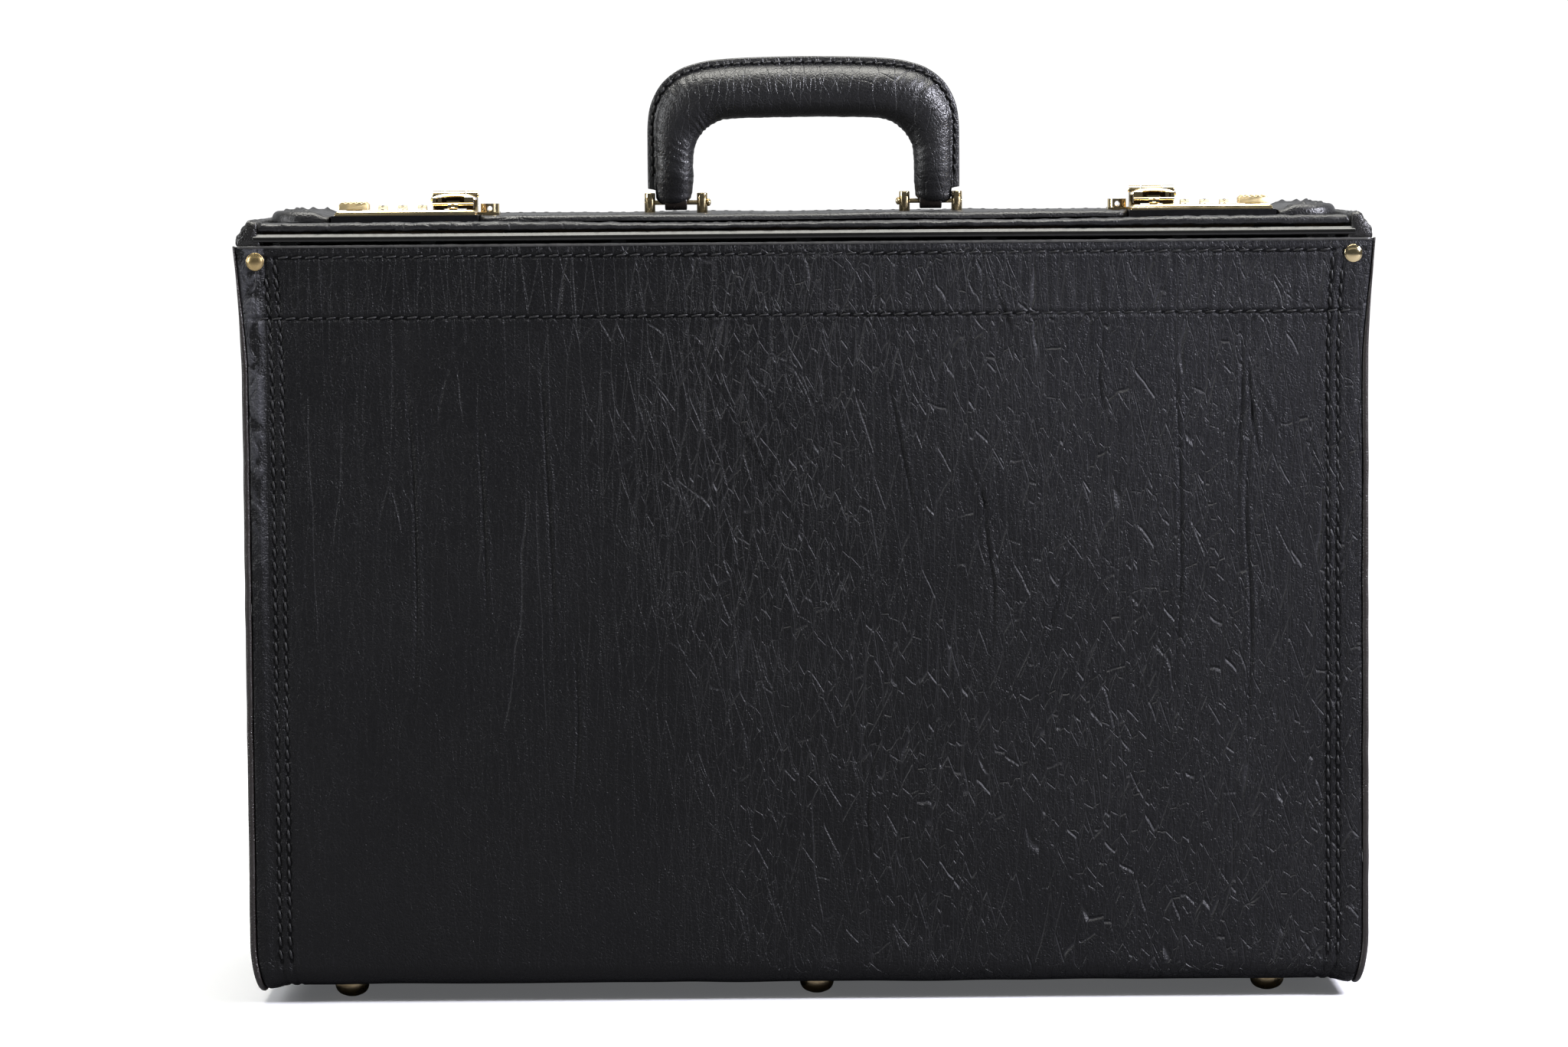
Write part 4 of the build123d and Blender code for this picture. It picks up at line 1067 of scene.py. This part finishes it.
def flap_outline():
    R = 15.0
    pts = []
    # front edge from left to right, stepping back round each lock

    def line(a, b, n):
        for t in np.linspace(0, 1, n)[:-1]:
            pts.append((a[0] + (b[0] - a[0]) * t, a[1] + (b[1] - a[1]) * t))

    def arc(cx, cy, r, a0, a1, n):
        for t in np.linspace(a0, a1, n)[:-1]:
            pts.append((cx + r * math.cos(math.radians(t)), cy + r * math.sin(math.radians(t))))
    # left end: rounded corner at the front is cut by the notch
    x_c = FX - R
    # start at the middle of the left end, go down round the front-left corner
    line((-FX, 0), (-FX, -FY + R), 20)
    arc(-x_c, -FY + R, R, 180, 270, 24)
    line((-x_c, -FY), (-NX1 - 1.2, -FY), 10)
    arc(-NX1 - 1.2, -FY + 1.2, 1.2, 270, 360, 5)
    line((-NX1, -FY + 1.2), (-NX1, NY - 1.5), 17)
    arc(-NX1 + 1.5, NY - 1.5, 1.5, 180, 90, 5)
    line((-NX1 + 1.5, NY), (-NX0 - 1.5, NY), 50)
    arc(-NX0 - 1.5, NY - 1.5, 1.5, 90, 0, 5)
    line((-NX0, NY - 1.5), (-NX0, -FY + 3), 12)
    arc(-NX0 + 3, -FY + 3, 3, 180, 270, 7)
    line((-NX0 + 3, -FY), (0, -FY), 110)
    left = pts[:]
    right = [(-x, y) for x, y in reversed(left)][:-1]
    front = left + [(0, -FY)] + right
    # back edge: plain rounded corners
    pts2 = []
    for t in np.linspace(0, 1, 20)[:-1]:
        pts2.append((FX, 0 + (FY - R) * t))
    for t in np.linspace(0, 90, 40)[:-1]:
        pts2.append((x_c + R * math.cos(math.radians(t)), FY - R + R * math.sin(math.radians(t))))
    for t in np.linspace(0, 1, 330)[:-1]:
        pts2.append((x_c - 2 * x_c * t, FY))
    for t in np.linspace(90, 180, 40)[:-1]:
        pts2.append((-x_c + R * math.cos(math.radians(t)), FY - R + R * math.sin(math.radians(t))))
    for t in np.linspace(0, 1, 20)[:-1]:
        pts2.append((-FX, (FY - R) * (1 - t)))
    o = np.array(front + pts2)
    d = np.linalg.norm(np.roll(o, -1, axis=0) - o, axis=1)
    return o[d > 0.02]


FO = flap_outline()
FS = np.r_[0, np.cumsum(np.linalg.norm(np.diff(FO, axis=0), axis=1))]
Q = np.stack([np.clip(FO[:, 0], -184, 184), np.where(np.abs(FO[:, 0]) < 184, 0, 0)], axis=1)
dist = np.linalg.norm(Q - FO, axis=1)
E = np.r_[0, 0.12, 0.4, 0.8, 1.3, 1.9, 2.6, 3.3, 3.8, 4.2, 4.6, 5.0, 5.5, 6.2, 7.0, 8, 9, 10, 11, 12, 13.5, 15, 17, 19.5]
fr = np.linspace(0, 1, 12)[1:]
TOPH = f_hi[2] - FZ0


def flap_h(x, y, e, s):
    end = smoothstep(193.5, 200.0, np.abs(x))
    H = 3.05 + 2.35 * end
    wd = 2.3 + 1.9 * end
    k = np.clip(1 - e / wd, 0, 1)
    z = H * (0.22 + 0.78 * np.clip(1 - k ** 2.3, 0, 1) ** (1 / 2.3)) * smoothstep(-0.01, 0.05, e + 0.04)
    z = z + 0.16 * wave(x, y, 60, 81) + 0.08 * wave(x, y, 16, 82)
    # seam round the border
    g = np.exp(-((e - 4.6) / 0.55) ** 2) * (1 - end)
    z = z - 0.40 * g + 0.12 * np.exp(-((e - 3.3) / 0.9) ** 2) * (1 - end)
    # each end is a smooth roll with gathered pleats standing up behind it
    u = (s / 7.4) % 1.0
    tri = np.clip(1 - np.abs(u * 2 - 1), 0, 1)
    z = z - end * 0.55 * np.exp(-((e - 5.4) / 0.7) ** 2)
    band = smoothstep(5.6, 6.8, e) * (1 - smoothstep(7.6, 11.5, e))
    z = z + end * band * (1.30 * tri ** 2.0 - 0.35)
    z = z - end * 0.9 * smoothstep(9, 16, e)
    return z


ring_top, ring_bot = [], []
for e in E:
    t = np.minimum(e / np.maximum(dist, 1e-6), 0.55)
    ring_top.append((t, e))
last_t = np.minimum(E[-1] / dist, 0.55)
P = []
for t, e in ring_top:
    xy = FO + (Q - FO) * t[:, None]
    ee = t * dist
    z = FZ0 + 0.05 + flap_h(xy[:, 0], xy[:, 1], ee, FS)
    P.append(np.column_stack([xy, z]))
for f in fr:
    t = last_t + (1 - last_t) * f
    xy = FO + (Q - FO) * t[:, None]
    z = FZ0 + 0.05 + flap_h(xy[:, 0], xy[:, 1], t * dist, FS)
    P.append(np.column_stack([xy, z]))
bot = []
for f in (1.0, 0.66, 0.33, 0.1, 0.0):
    xy = FO + (Q - FO) * f
    bot.append(np.column_stack([xy, np.full(len(FO), FZ0 + (0.03 if f < 0.05 else 0.0))]))
P = np.array(P + bot)
P[:, :, 2] = np.minimum(P[:, :, 2], f_hi[2] + 2.2)
flap = grid("flap_padded", np.transpose(P, (1, 0, 2)), M_FLAP, close_u=True, body="rear_lid", slot="leather_black",
            replaces=("top_flap",), flip=True)
rows = []
for i0, i1, end in ((0, len(FO), 0),):
    t = 4.6 / np.maximum(dist, 4.7)
    xy = FO + (Q - FO) * t[:, None]
    ok = np.abs(FO[:, 0]) < 196
    # split at the notches and ends
    seg = []
    for k in range(len(FO)):
        corner = False
        if ok[k]:
            seg.append((xy[k, 0], xy[k, 1], FZ0 + 0.05 + flap_h(xy[k:k + 1, 0], xy[k:k + 1, 1], np.array([4.6]), FS[k:k + 1])[0] + 0.15))
        if (not ok[k] or k == len(FO) - 1) and len(seg) > 3:
            rows.append((seg, (0, 0, 1)))
            seg = []
        elif not ok[k]:
            seg = []
thread("flap_stitches", rows, M_THREAD, "rear_lid", r=0.32, length=3.9, slot="leather_trim")

# ---------------------------------------------------------------------------
# handle: padded grip, stitched welt along its outer edge, creased leather
# ---------------------------------------------------------------------------
HX = 0.2
o_pts = [(-64.2, 322.6), (-64.35, 327.0), (-64.4, 333.5), (-64.4, 343.5), (-64.2, 353.5), (-62.7, 361.5), (-58.4, 369.3), (-51.5, 374.9),
         (-43.9, 377.7), (-35.9, 379.1), (-22.5, 379.9), (0.0, 380.3)]
i_pts = [(-46.3, 322.6), (-45.8, 326.8), (-45.6, 331.0), (-45.5, 336.2), (-45.2, 341.0), (-44.4, 344.8), (-42.4, 348.2), (-39.4, 351.2),
         (-35.4, 353.6), (-30.0, 354.7), (-16.0, 355.1), (0.0, 355.2)]


def mirror_line(p):
    p = np.array(p, float)
    q = p[::-1][1:].copy()
    q[:, 0] *= -1
    return np.vstack([p, q])


oc = catmull(mirror_line(o_pts), 12)
ic = catmull(mirror_line(i_pts), 12)
NS = len(oc)
hs = np.r_[0, np.cumsum(np.linalg.norm(np.diff((oc + ic) / 2, axis=0), axis=1))]
total = hs[-1]


def depth_at(i):
    """Full depth of the handle in Y at this station, and the welt's width."""
    s = min(hs[i], total - hs[i])
    legk = smoothstep(22.0, 62.0, np.array([s]))[0]
    D = 14.6 + (20.8 - 14.6) * legk
    D = D * (0.66 + 0.34 * smoothstep(-1.0, 12.0, np.array([s]))[0] ** 0.8)
    full = 3.5 + (3.9 - 3.5) * legk
    wl = full * smoothstep(2.7, 3.6, np.array([s]))[0]
    return D, max(wl, 0.05), full


NB = 40
HV = []
welt_rows = {"f": [], "b": []}
for i in range(NS):
    O, I = oc[i], ic[i]
    wd = np.linalg.norm(O - I)
    n = (O - I) / wd
    D, wl, wfull = depth_at(i)
    O = O - n * (wfull - wl)
    wd = np.linalg.norm(O - I)
    bw = wd - wl + 0.6
    sec = []
    # body of the grip: from the welt's root round the inner side to the other root
    th0 = 26.0
    for a in np.linspace(th0, 360 - th0, NB):
        ar = math.radians(a)
        c_, s_ = math.cos(ar), math.sin(ar)
        ex = 2.35
        rr = (abs(c_) ** ex + abs(s_) ** ex) ** (-1 / ex)
        u = rr * c_ * bw / 2
        v = rr * s_ * D / 2
        if c_ > 0.0:
            v *= 1 - 0.10 * c_
        cr = 0.10 * wave(np.array([hs[i] * 1.0]), np.array([a * 0.10]), 11, 91)[0] \
            + 0.06 * wave(np.array([hs[i]]), np.array([a * 0.05]), 4.6, 92)[0]
        # creases bunch up on the inside of the two bends
        sc = min(hs[i], total - hs[i])
        bend = math.exp(-((sc - 44.0) / 11.0) ** 2)
        inner = np.clip(-c_, 0, 1)
        cr += bend * inner * 0.07 * math.sin(2 * math.pi * hs[i] / 3.4 + 0.9 * math.sin(a / 20))
        cr += (0.25 + 0.75 * bend) * 0.10 * wave(np.array([hs[i] * 1.0]), np.array([a * 0.03]), 3.4, 94)[0]
        k = 1 + cr / (D / 2)
        sec.append((u * k, v * k))
    # welt: two leather edges sewn flat together
    wt = 2.25
    off = bw / 2
    u_root = sec[0][0]
    top_u = bw / 2 - 0.6 + wl
    we = [(u_root + (off - u_root) * 0.55, -(wt + 0.9)), (off - 0.55, -wt - 0.05), (off + 0.25, -wt + 0.02), (top_u - 0.7, -wt * 0.98), (top_u - 0.15, -wt * 0.80),
          (top_u, -wt * 0.35), (top_u - 0.12, 0.0), (top_u, wt * 0.35), (top_u - 0.15, wt * 0.80), (top_u - 0.7, wt * 0.98), (off + 0.25, wt - 0.02),
          (off - 0.55, wt + 0.05), (u_root + (off - u_root) * 0.55, wt + 0.9)]
    fade = smoothstep(2.7, 3.6, np.array([min(hs[i], total - hs[i])]))[0]
    we = [(u_root + (u - u_root) * (0.35 + 0.65 * fade), v) for u, v in we]
    sec = sec + we
    c = (O + I) / 2 - n * wl / 2 + n * 0.3
    ring = [(c[0] + n[0] * u + HX, v, c[1] + n[1] * u) for u, v in sec]
    HV.append(ring)
    tipd = min(hs[i], total - hs[i])
    if tipd > 6.5:
        uu = off + wl * 0.22
        for key, sg in (("f", -1), ("b", 1)):
            welt_rows[key].append((c[0] + n[0] * uu + HX, sg * wt * 1.0, c[1] + n[1] * uu))
HV = np.array(HV)
# rounded leg tips
for end in (0, -1):
    ring = HV[end].copy()
    cen = ring.mean(axis=0)
    nxt = HV[1 if end == 0 else -2].mean(axis=0)
    dirv = (cen - nxt) / np.linalg.norm(cen - nxt)
    extra = []
    for k, adv in ((0.95, 0.7), (0.86, 1.5), (0.72, 2.3), (0.52, 2.9), (0.25, 3.3)):
        extra.append(cen + (ring - cen) * k + dirv * adv)
    if end == 0:
        HV = np.concatenate([np.array(extra[::-1]), HV])
    else:
        HV = np.concatenate([HV, np.array(extra)])
handle = grid("handle_leather", HV, M_HANDLE, close_v=True, caps=True, body="handle", slot="leather_black",
              replaces=("handle_cover",))
thread("handle_stitches", [(welt_rows["f"], (0, -1, 0)), (welt_rows["b"], (0, 1, 0))], M_THREAD, "handle",
       pitch=4.2, length=3.1, r=0.50, sink=0.10, slant=0.22)
holes("handle_needle_holes", [(welt_rows["f"], (0, -1, 0)), (welt_rows["b"], (0, 1, 0))], M_SHADE, "handle", pitch=4.2, r=0.5)

# ---------------------------------------------------------------------------
# turned metal parts
# ---------------------------------------------------------------------------


def lathe(prof, origin, axis, n=40, start=None):
    """Verts and faces of a turned shape; prof is (radius, height along axis)."""
    axis = np.asarray(axis, float)
    axis /= np.linalg.norm(axis)
    ref = np.array([0, 0, 1.0]) if abs(axis[2]) < 0.9 else np.array([1.0, 0, 0])
    u = np.cross(axis, ref)
    u /= np.linalg.norm(u)
    v = np.cross(axis, u)
    V, F = [], []
    for r, h in prof:
        for k in range(n):
            q = 2 * math.pi * k / n
            V.append(np.asarray(origin) + axis * h + (u * math.cos(q) + v * math.sin(q)) * r)
    m_ = len(prof)
    for i in range(m_ - 1):
        for k in range(n):
            kk = (k + 1) % n
            F.append((i * n + k, (i + 1) * n + k, (i + 1) * n + kk, i * n + kk))
    F.append(tuple(range(n)))
    F.append(tuple((m_ - 1) * n + k for k in reversed(range(n))))
    return V, F


def join(parts):
    V, F = [], []
    for v, f in parts:
        b = len(V)
        V += list(v)
        F += [tuple(b + i for i in q) for q in f]
    return V, F


def fix_normals(ob):
    bm = bmesh.new()
    bm.from_mesh(ob.data)
    bmesh.ops.recalc_face_normals(bm, faces=bm.faces)
    bm.to_mesh(ob.data)
    bm.free()
    return ob


# feet: spun brass domes worn flat underneath
feet_lo, feet_hi = nb("feet")
fx = (feet_lo[0] + 7.0, 3.0, feet_hi[0] - 7.0)
prof = [(0.01, 0.0), (1.6, 0.0), (2.15, 0.03), (2.6, 0.16)]
for a in np.linspace(24, 90, 16):
    sa, ca = math.sin(math.radians(a)) ** 0.72, math.cos(math.radians(a)) ** 0.72
    prof.append((7.0 * sa, 0.16 + 6.4 * (1 - ca)))
prof = [q for q in prof if q[0] < 2.7 or q[1] > 0.3]
prof[-1] = (6.98, 6.6)
prof += [(7.0, 6.9), (6.9, 7.05), (5.0, 7.15), (1.6, 7.2), (1.6, 13.6), (1.2, 13.8), (0.01, 13.8)]
parts = [lathe(prof, (x, y, 0), (0, 0, 1), 44) for x in fx for y in (-58, 58)]
v, f = join(parts)
fix_normals(make("feet_domes", v, f, M_GOLD_SATIN, body="case", slot="gold_satin", replaces=("feet",)))

# corner rivets: domed caps in a fine rolled rim
prof = [(1.3, -3.0), (1.4, -0.2), (3.2, -0.12), (3.5, 0.05), (3.6, 0.28), (3.5, 0.50), (3.28, 0.60), (3.12, 0.58), (2.9, 0.72), (2.4, 1.02), (1.7, 1.27), (0.9, 1.42), (0.01, 1.46)]
groups = {"a": [], "b": []}
for sx in (-1, 1):
    for sy in (-1, 1):
        groups["a" if sx < 0 else "b"].append(lathe(prof, (sx * 219.0, sy * HD, 299.0), (0, sy, 0), 40))
# the left rivets take a darker, rougher gold than the right ones
v, f = join(groups["a"])
fix_normals(make("rivets_left", v, f, M_GOLD_DARK_LEFT, body="case", slot="gold", replaces=("corner_rivets",)))
v, f = join(groups["b"])
fix_normals(make("rivets_right", v, f, M_GOLD, body="case", slot="gold", replaces=("corner_rivets",)))

# handle posts and pins
PX = (41.8, 63.4)
PIV = 320.4
ztop_mid = 316.2
prof = [(0.01, 0.0), (2.2, 0.0), (2.2, 7.9), (2.12, 8.1), (1.95, 8.2), (0.01, 8.25)]
v, f = join([lathe(prof, (s * x, 0, ztop_mid - 0.05), (0, 0, 1), 36) for s in (-1, 1) for x in PX])
fix_normals(make("posts_turned", v, f, M_GOLD, body="rear_lid", slot="gold", replaces=("handle_posts",)))
parts = []
for s in (-1, 1):
    x0 = PX[0] - 2.3
    prof = [(0.01, -1.35), (0.7, -1.28), (1.25, -1.0), (1.55, -0.55), (1.6, -0.1), (1.5, 0.1), (1.0, 0.15), (0.95, 0.4), (0.95, 25.9),
            (0.8, 26.1), (0.01, 26.15)]
    parts.append(lathe(prof, (s * x0, 0, PIV), (s, 0, 0), 32))
v, f = join(parts)
fix_normals(make("pins_turned", v, f, M_GOLD, body="rear_lid", slot="gold", replaces=("handle_pins",)))
cad_copy("handle_eyes", M_EYE, "handle", width=0.5, segs=3, name="handle_eyes_soft")

# ---------------------------------------------------------------------------
# locks
# ---------------------------------------------------------------------------


def digit_mesh(txt, size):
    cu = bpy.data.curves.new("tmp_digit", "FONT")
    cu.body = txt
    cu.size = size
    cu.align_x = "CENTER"
    cu.align_y = "CENTER"
    cu.extrude = 0.0
    cu.resolution_u = 4
    ob = bpy.data.objects.new("tmp_digit", cu)
    scene.collection.objects.link(ob)
    dg = bpy.context.evaluated_depsgraph_get()
    me = bpy.data.meshes.new_from_object(ob.evaluated_get(dg))
    v = np.array([tuple(p.co) for p in me.vertices])
    f = [tuple(p.vertices) for p in me.polygons]
    bpy.data.objects.remove(ob)
    bpy.data.curves.remove(cu)
    bpy.data.meshes.remove(me)
    c = (v.min(axis=0) + v.max(axis=0)) / 2
    v[:, :2] -= c[:2]
    return v, f


DIG = {k: digit_mesh(str(k), 3.1) for k in range(10)}
DY, DZ, DR = -36.5, 315.0, 5.5
for s, tag in ((-1, "left"), (1, "right")):
    cad_copy("lock_body_" + tag, M_BLACK, "front_lid", width=0.5, segs=3,
             tweak=lambda p: [p[0] - (1.9 * np.sign(p[0]) if abs(p[0]) > 187 and abs(p[0]) > 190 else 0), p[1], p[2]])
    cad_copy("lock_plate_" + tag, M_PLATE, "front_lid", width=0.30, segs=3,
             tweak=lambda p: [p[0] - (1.9 * np.sign(p[0]) if abs(p[0]) > 189 else 0),
                              p[1] + (1.9 if p[1] < -44 and p[2] > 318.2 else 0), p[2]])
    cad_copy("hasp_bracket_" + tag, M_GOLD, "rear_lid", width=0.30, segs=3)
    cad_copy("slider_" + tag, M_SATIN, "slider_" + tag, width=0.30, segs=3,
             tweak=lambda p: [p[0], p[1] + (1.1 if p[1] < -41 and p[2] > 320.6 else 0), p[2]])
    # hasp: knuckle, arched cover over a windowed front, nose over the catch
    hx_ = 142.5
    parts = []

    def bx(x0, x1, y0, y1, z0, z1, c=0.22):
        X0, X1 = sorted((s * x0, s * x1))
        V, F = [], []
        for z, k in ((z0, c), (z0 + c, 0), (z1 - c, 0), (z1, c)):
            for x, y in ((X0 + k, y0 + k), (X1 - k, y0 + k), (X1 - k, y1 - k), (X0 + k, y1 - k)):
                V.append((x, y, z))
        for i in range(3):
            for j in range(4):
                k = (j + 1) % 4
                F.append((i * 4 + j, i * 4 + k, (i + 1) * 4 + k, (i + 1) * 4 + j))
        F.append((3, 2, 1, 0))
        F.append((12, 13, 14, 15))
        return V, F

    # arched cover
    V, F = [], []
    nx = 25
    sec = [(-24.0, 0.0), (-24.0, -1.0), (-35.6, -1.0), (-36.9, -1.5), (-37.5, -0.9), (-36.7, -0.2), (-35.4, 0.0)]
    for i in range(nx):
        u = i / (nx - 1) * 2 - 1
        zt = 325.25 - 1.75 * abs(u) ** 2.6
        for (yy, dz) in sec:
            V.append((s * (hx_ + u * 9.0), yy, zt + dz))
    for i in range(nx - 1):
        for j in range(len(sec)):
            k = (j + 1) % len(sec)
            n_ = len(sec)
            F.append((i * n_ + j, i * n_ + k, (i + 1) * n_ + k, (i + 1) * n_ + j))
    F.append(tuple(range(len(sec))))
    F.append(tuple((nx - 1) * len(sec) + j for j in reversed(range(len(sec)))))
    parts.append((V, F))
    parts.append(bx(hx_ - 4.1, hx_ + 4.1, -24.6, -20.0, 324.5, 325.7))
    parts.append(lathe([(0.8, 0), (1.85, 0), (1.9, 0.1), (1.9, 7.7), (1.85, 7.8), (0.8, 7.8)], (s * (hx_ - 3.9), -20.0, 324.2), (s, 0, 0), 28))
    # windowed front under the cover: sill, two jambs, the nose and its tongue
    parts.append(bx(hx_ - 8.3, hx_ + 8.3, -38.2, -36.4, 320.3, 321.3))
    parts.append(bx(hx_ - 8.3, hx_ - 4.6, -38.0, -36.5, 321.0, 323.9))
    parts.append(bx(hx_ + 4.6, hx_ + 6.2, -38.0, -36.5, 321.0, 323.9))
    parts.append(bx(hx_ + 6.8, hx_ + 8.3, -38.0, -36.5, 321.0, 323.7))
    parts.append(bx(hx_ - 2.1, hx_ - 0.6, -39.0, -37.2, 319.0, 320.9))
    parts.append(bx(hx_ + 0.6, hx_ + 2.1, -39.0, -37.2, 319.0, 320.9))
    parts.append(bx(hx_ - 2.1, hx_ + 2.1, -38.7, -37.2, 319.0, 319.6))
    v, f = join(parts)
    fix_normals(make("hasp_cover_" + tag, v, f, M_GOLD, smooth=False, body="hasp_" + tag, slot="gold", replaces=("hasp_" + tag,)))
    # painted shade: a very dark box fills the hasp behind its window
    v, f = bx(hx_ - 8.0, hx_ + 8.0, -34.2, -25.9, 318.95, 323.4)
    fix_normals(make("hasp_inside_" + tag, v, f, M_HASP_SHADE, smooth=False, body="hasp_" + tag, slot="gold"))
    for i, x in enumerate((155.0, 163.0, 171.0)):
        b = "dial_%s_%d" % (tag, i + 1)
        cad_copy(b, M_DIAL, b, width=0.14, segs=2)
        parts = []
        for k in range(10):
            a = math.radians(180 - 36 * k + 36 * ((i * 3 + (2 if s > 0 else 0)) % 10))
            nrm = np.array([0, math.cos(a), math.sin(a)])
            up = np.array([0, math.sin(a), -math.cos(a)])
            v, f = DIG[k]
            pos = [np.array([s * x, DY, DZ]) + nrm * (DR + 0.03) + np.array([1.0, 0, 0]) * p[0] * 0.82 + up * p[1] for p in v]
            parts.append((pos, f))
        v, f = join(parts)
        make(b + "_digits", v, f, M_INK, smooth=False, body=b, slot="black_metal")
cad_copy("hasp_pins", M_GOLD, "rear_lid", width=0.15, segs=2)
cad_copy("hasp_rivets", M_GOLD, "rear_lid", width=0.25, segs=3)

# ---------------------------------------------------------------------------
# stage, light and camera
# ---------------------------------------------------------------------------
fl = Nodes("stage_floor")
fl.set("Base Color", (0.93, 0.93, 0.94, 1))
fl.set("Roughness", 0.75)
fl.set("Specular IOR Level", 0.0)
fl.set("Emission Color", (0.95, 0.97, 1.0, 1))
fl.set("Emission Strength", 0.10)
fl_lp = fl.t.nodes.new("ShaderNodeLightPath")
fl_em = fl.t.nodes.new("ShaderNodeEmission")
fl_em.inputs[0].default_value = (1.0, 1.0, 1.0, 1)
fl_em.inputs[1].default_value = 1.15
fl_dk = fl.t.nodes.new("ShaderNodeBsdfDiffuse")
fl_dk.inputs[0].default_value = (0.25, 0.25, 0.26, 1)
fl_m1 = fl.t.nodes.new("ShaderNodeMixShader")
fl_m2 = fl.t.nodes.new("ShaderNodeMixShader")
fl_sep = fl.t.nodes.new("ShaderNodeVectorMath")
fl_sep.operation = "LENGTH"
fl.link(fl.mapping((1.0, 0.8, 1.0)), fl_sep.inputs[0])
fl_far = fl.ramp(fl_sep.outputs["Value"], 0.42, 0.95)
fl.link(fl_far, fl_m1.inputs[0])
fl.link(fl.b.outputs[0], fl_m1.inputs[1])
fl.link(fl_em.outputs[0], fl_m1.inputs[2])
fl.link(fl_lp.outputs["Is Camera Ray"], fl_m2.inputs[0])
fl.link(fl_dk.outputs[0], fl_m2.inputs[1])
fl.link(fl_m1.outputs[0], fl_m2.inputs[2])
fl.link(fl_m2.outputs[0], fl.out.inputs[0])
floor = make("floor", [(-6000, -4500, 0), (6000, -4500, 0), (6000, 9000, 0), (-6000, 9000, 0)], [(0, 1, 2, 3)], fl.mat, smooth=False)

world = bpy.data.worlds.new("studio")
scene.world = world
world.use_nodes = True
wt_ = world.node_tree
wt_.nodes.clear()
w_out = wt_.nodes.new("ShaderNodeOutputWorld")
w_mix = wt_.nodes.new("ShaderNodeMixShader")
w_lp = wt_.nodes.new("ShaderNodeLightPath")
w_cam = wt_.nodes.new("ShaderNodeBackground")
w_cam.inputs[0].default_value = (1, 1, 1, 1)
w_cam.inputs[1].default_value = 1.05
w_dim = wt_.nodes.new("ShaderNodeBackground")
w_dim.inputs[0].default_value = (0.95, 0.97, 1.0, 1)
w_tc = wt_.nodes.new("ShaderNodeTexCoord")
w_sp = wt_.nodes.new("ShaderNodeSeparateXYZ")
w_mr = wt_.nodes.new("ShaderNodeMapRange")
w_mr.interpolation_type = "SMOOTHSTEP"
for k_, v_ in zip(("From Min", "From Max", "To Min", "To Max"), (0.10, 0.80, 0.07, 0.62)):
    w_mr.inputs[k_].default_value = v_
wt_.links.new(w_tc.outputs["Generated"], w_sp.inputs[0])
wt_.links.new(w_sp.outputs[1], w_mr.inputs["Value"])
wt_.links.new(w_mr.outputs[0], w_dim.inputs[1])
wt_.links.new(w_lp.outputs["Is Camera Ray"], w_mix.inputs[0])
wt_.links.new(w_dim.outputs[0], w_mix.inputs[1])
wt_.links.new(w_cam.outputs[0], w_mix.inputs[2])
wt_.links.new(w_mix.outputs[0], w_out.inputs[0])


def area(name, loc, target, size, power, color=(1, 1, 1), spread=180):
    li = bpy.data.lights.new(name, "AREA")
    li.shape = "RECTANGLE"
    li.size, li.size_y = size
    li.energy = power
    li.color = color
    li.spread = math.radians(spread)
    ob = bpy.data.objects.new(name, li)
    ob.location = loc
    d = Vector(target) - Vector(loc)
    ob.rotation_euler = d.to_track_quat("-Z", "Y").to_euler()
    ob.visible_camera = False
    scene.collection.objects.link(ob)
    return ob


area("key_right", (1.32, -0.60, 1.00), (0.12, -0.08, 0.24), (0.42, 0.42), 46, (0.89, 0.89, 1.0))
area("overhead", (0.0, 0.05, 1.55), (0, 0.05, 0.2), (1.5, 0.8), 36, (1.0, 0.985, 0.92))
area("front_card", (0.0, -1.5, 1.35), (0, 0, 0.28), (2.2, 0.5), 1.0, (1.0, 0.98, 0.92))
area("left_rake", (-1.25, -0.42, 0.62), (-0.22, -0.08, 0.18), (0.30, 0.60), 9, (0.97, 0.98, 1.0))

cam = bpy.data.cameras.new("camera")
cam.sensor_width = 36
cam.sensor_fit = "HORIZONTAL"
cam.lens = 125.98
cam.clip_start = 0.05
cam.clip_end = 60
co = bpy.data.objects.new("camera", cam)
scene.collection.objects.link(co)
yaw, pitch, roll = -0.0023, 0.0693, -0.0080
f_ = np.array([math.sin(yaw) * math.cos(pitch), math.cos(yaw) * math.cos(pitch), -math.sin(pitch)])
r_ = np.array([math.cos(yaw), -math.sin(yaw), 0.0])
u_ = np.cross(r_, f_)
r2 = math.cos(roll) * r_ + math.sin(roll) * u_
u2 = -math.sin(roll) * r_ + math.cos(roll) * u_
mw = Matrix(((r2[0], u2[0], -f_[0], -3.8 * S), (r2[1], u2[1], -f_[1], -2272.4 * S), (r2[2], u2[2], -f_[2], 344.8 * S), (0, 0, 0, 1)))
co.matrix_world = mw
scene.camera = co
scene.view_settings.view_transform = "Standard"
scene.view_settings.look = "None"
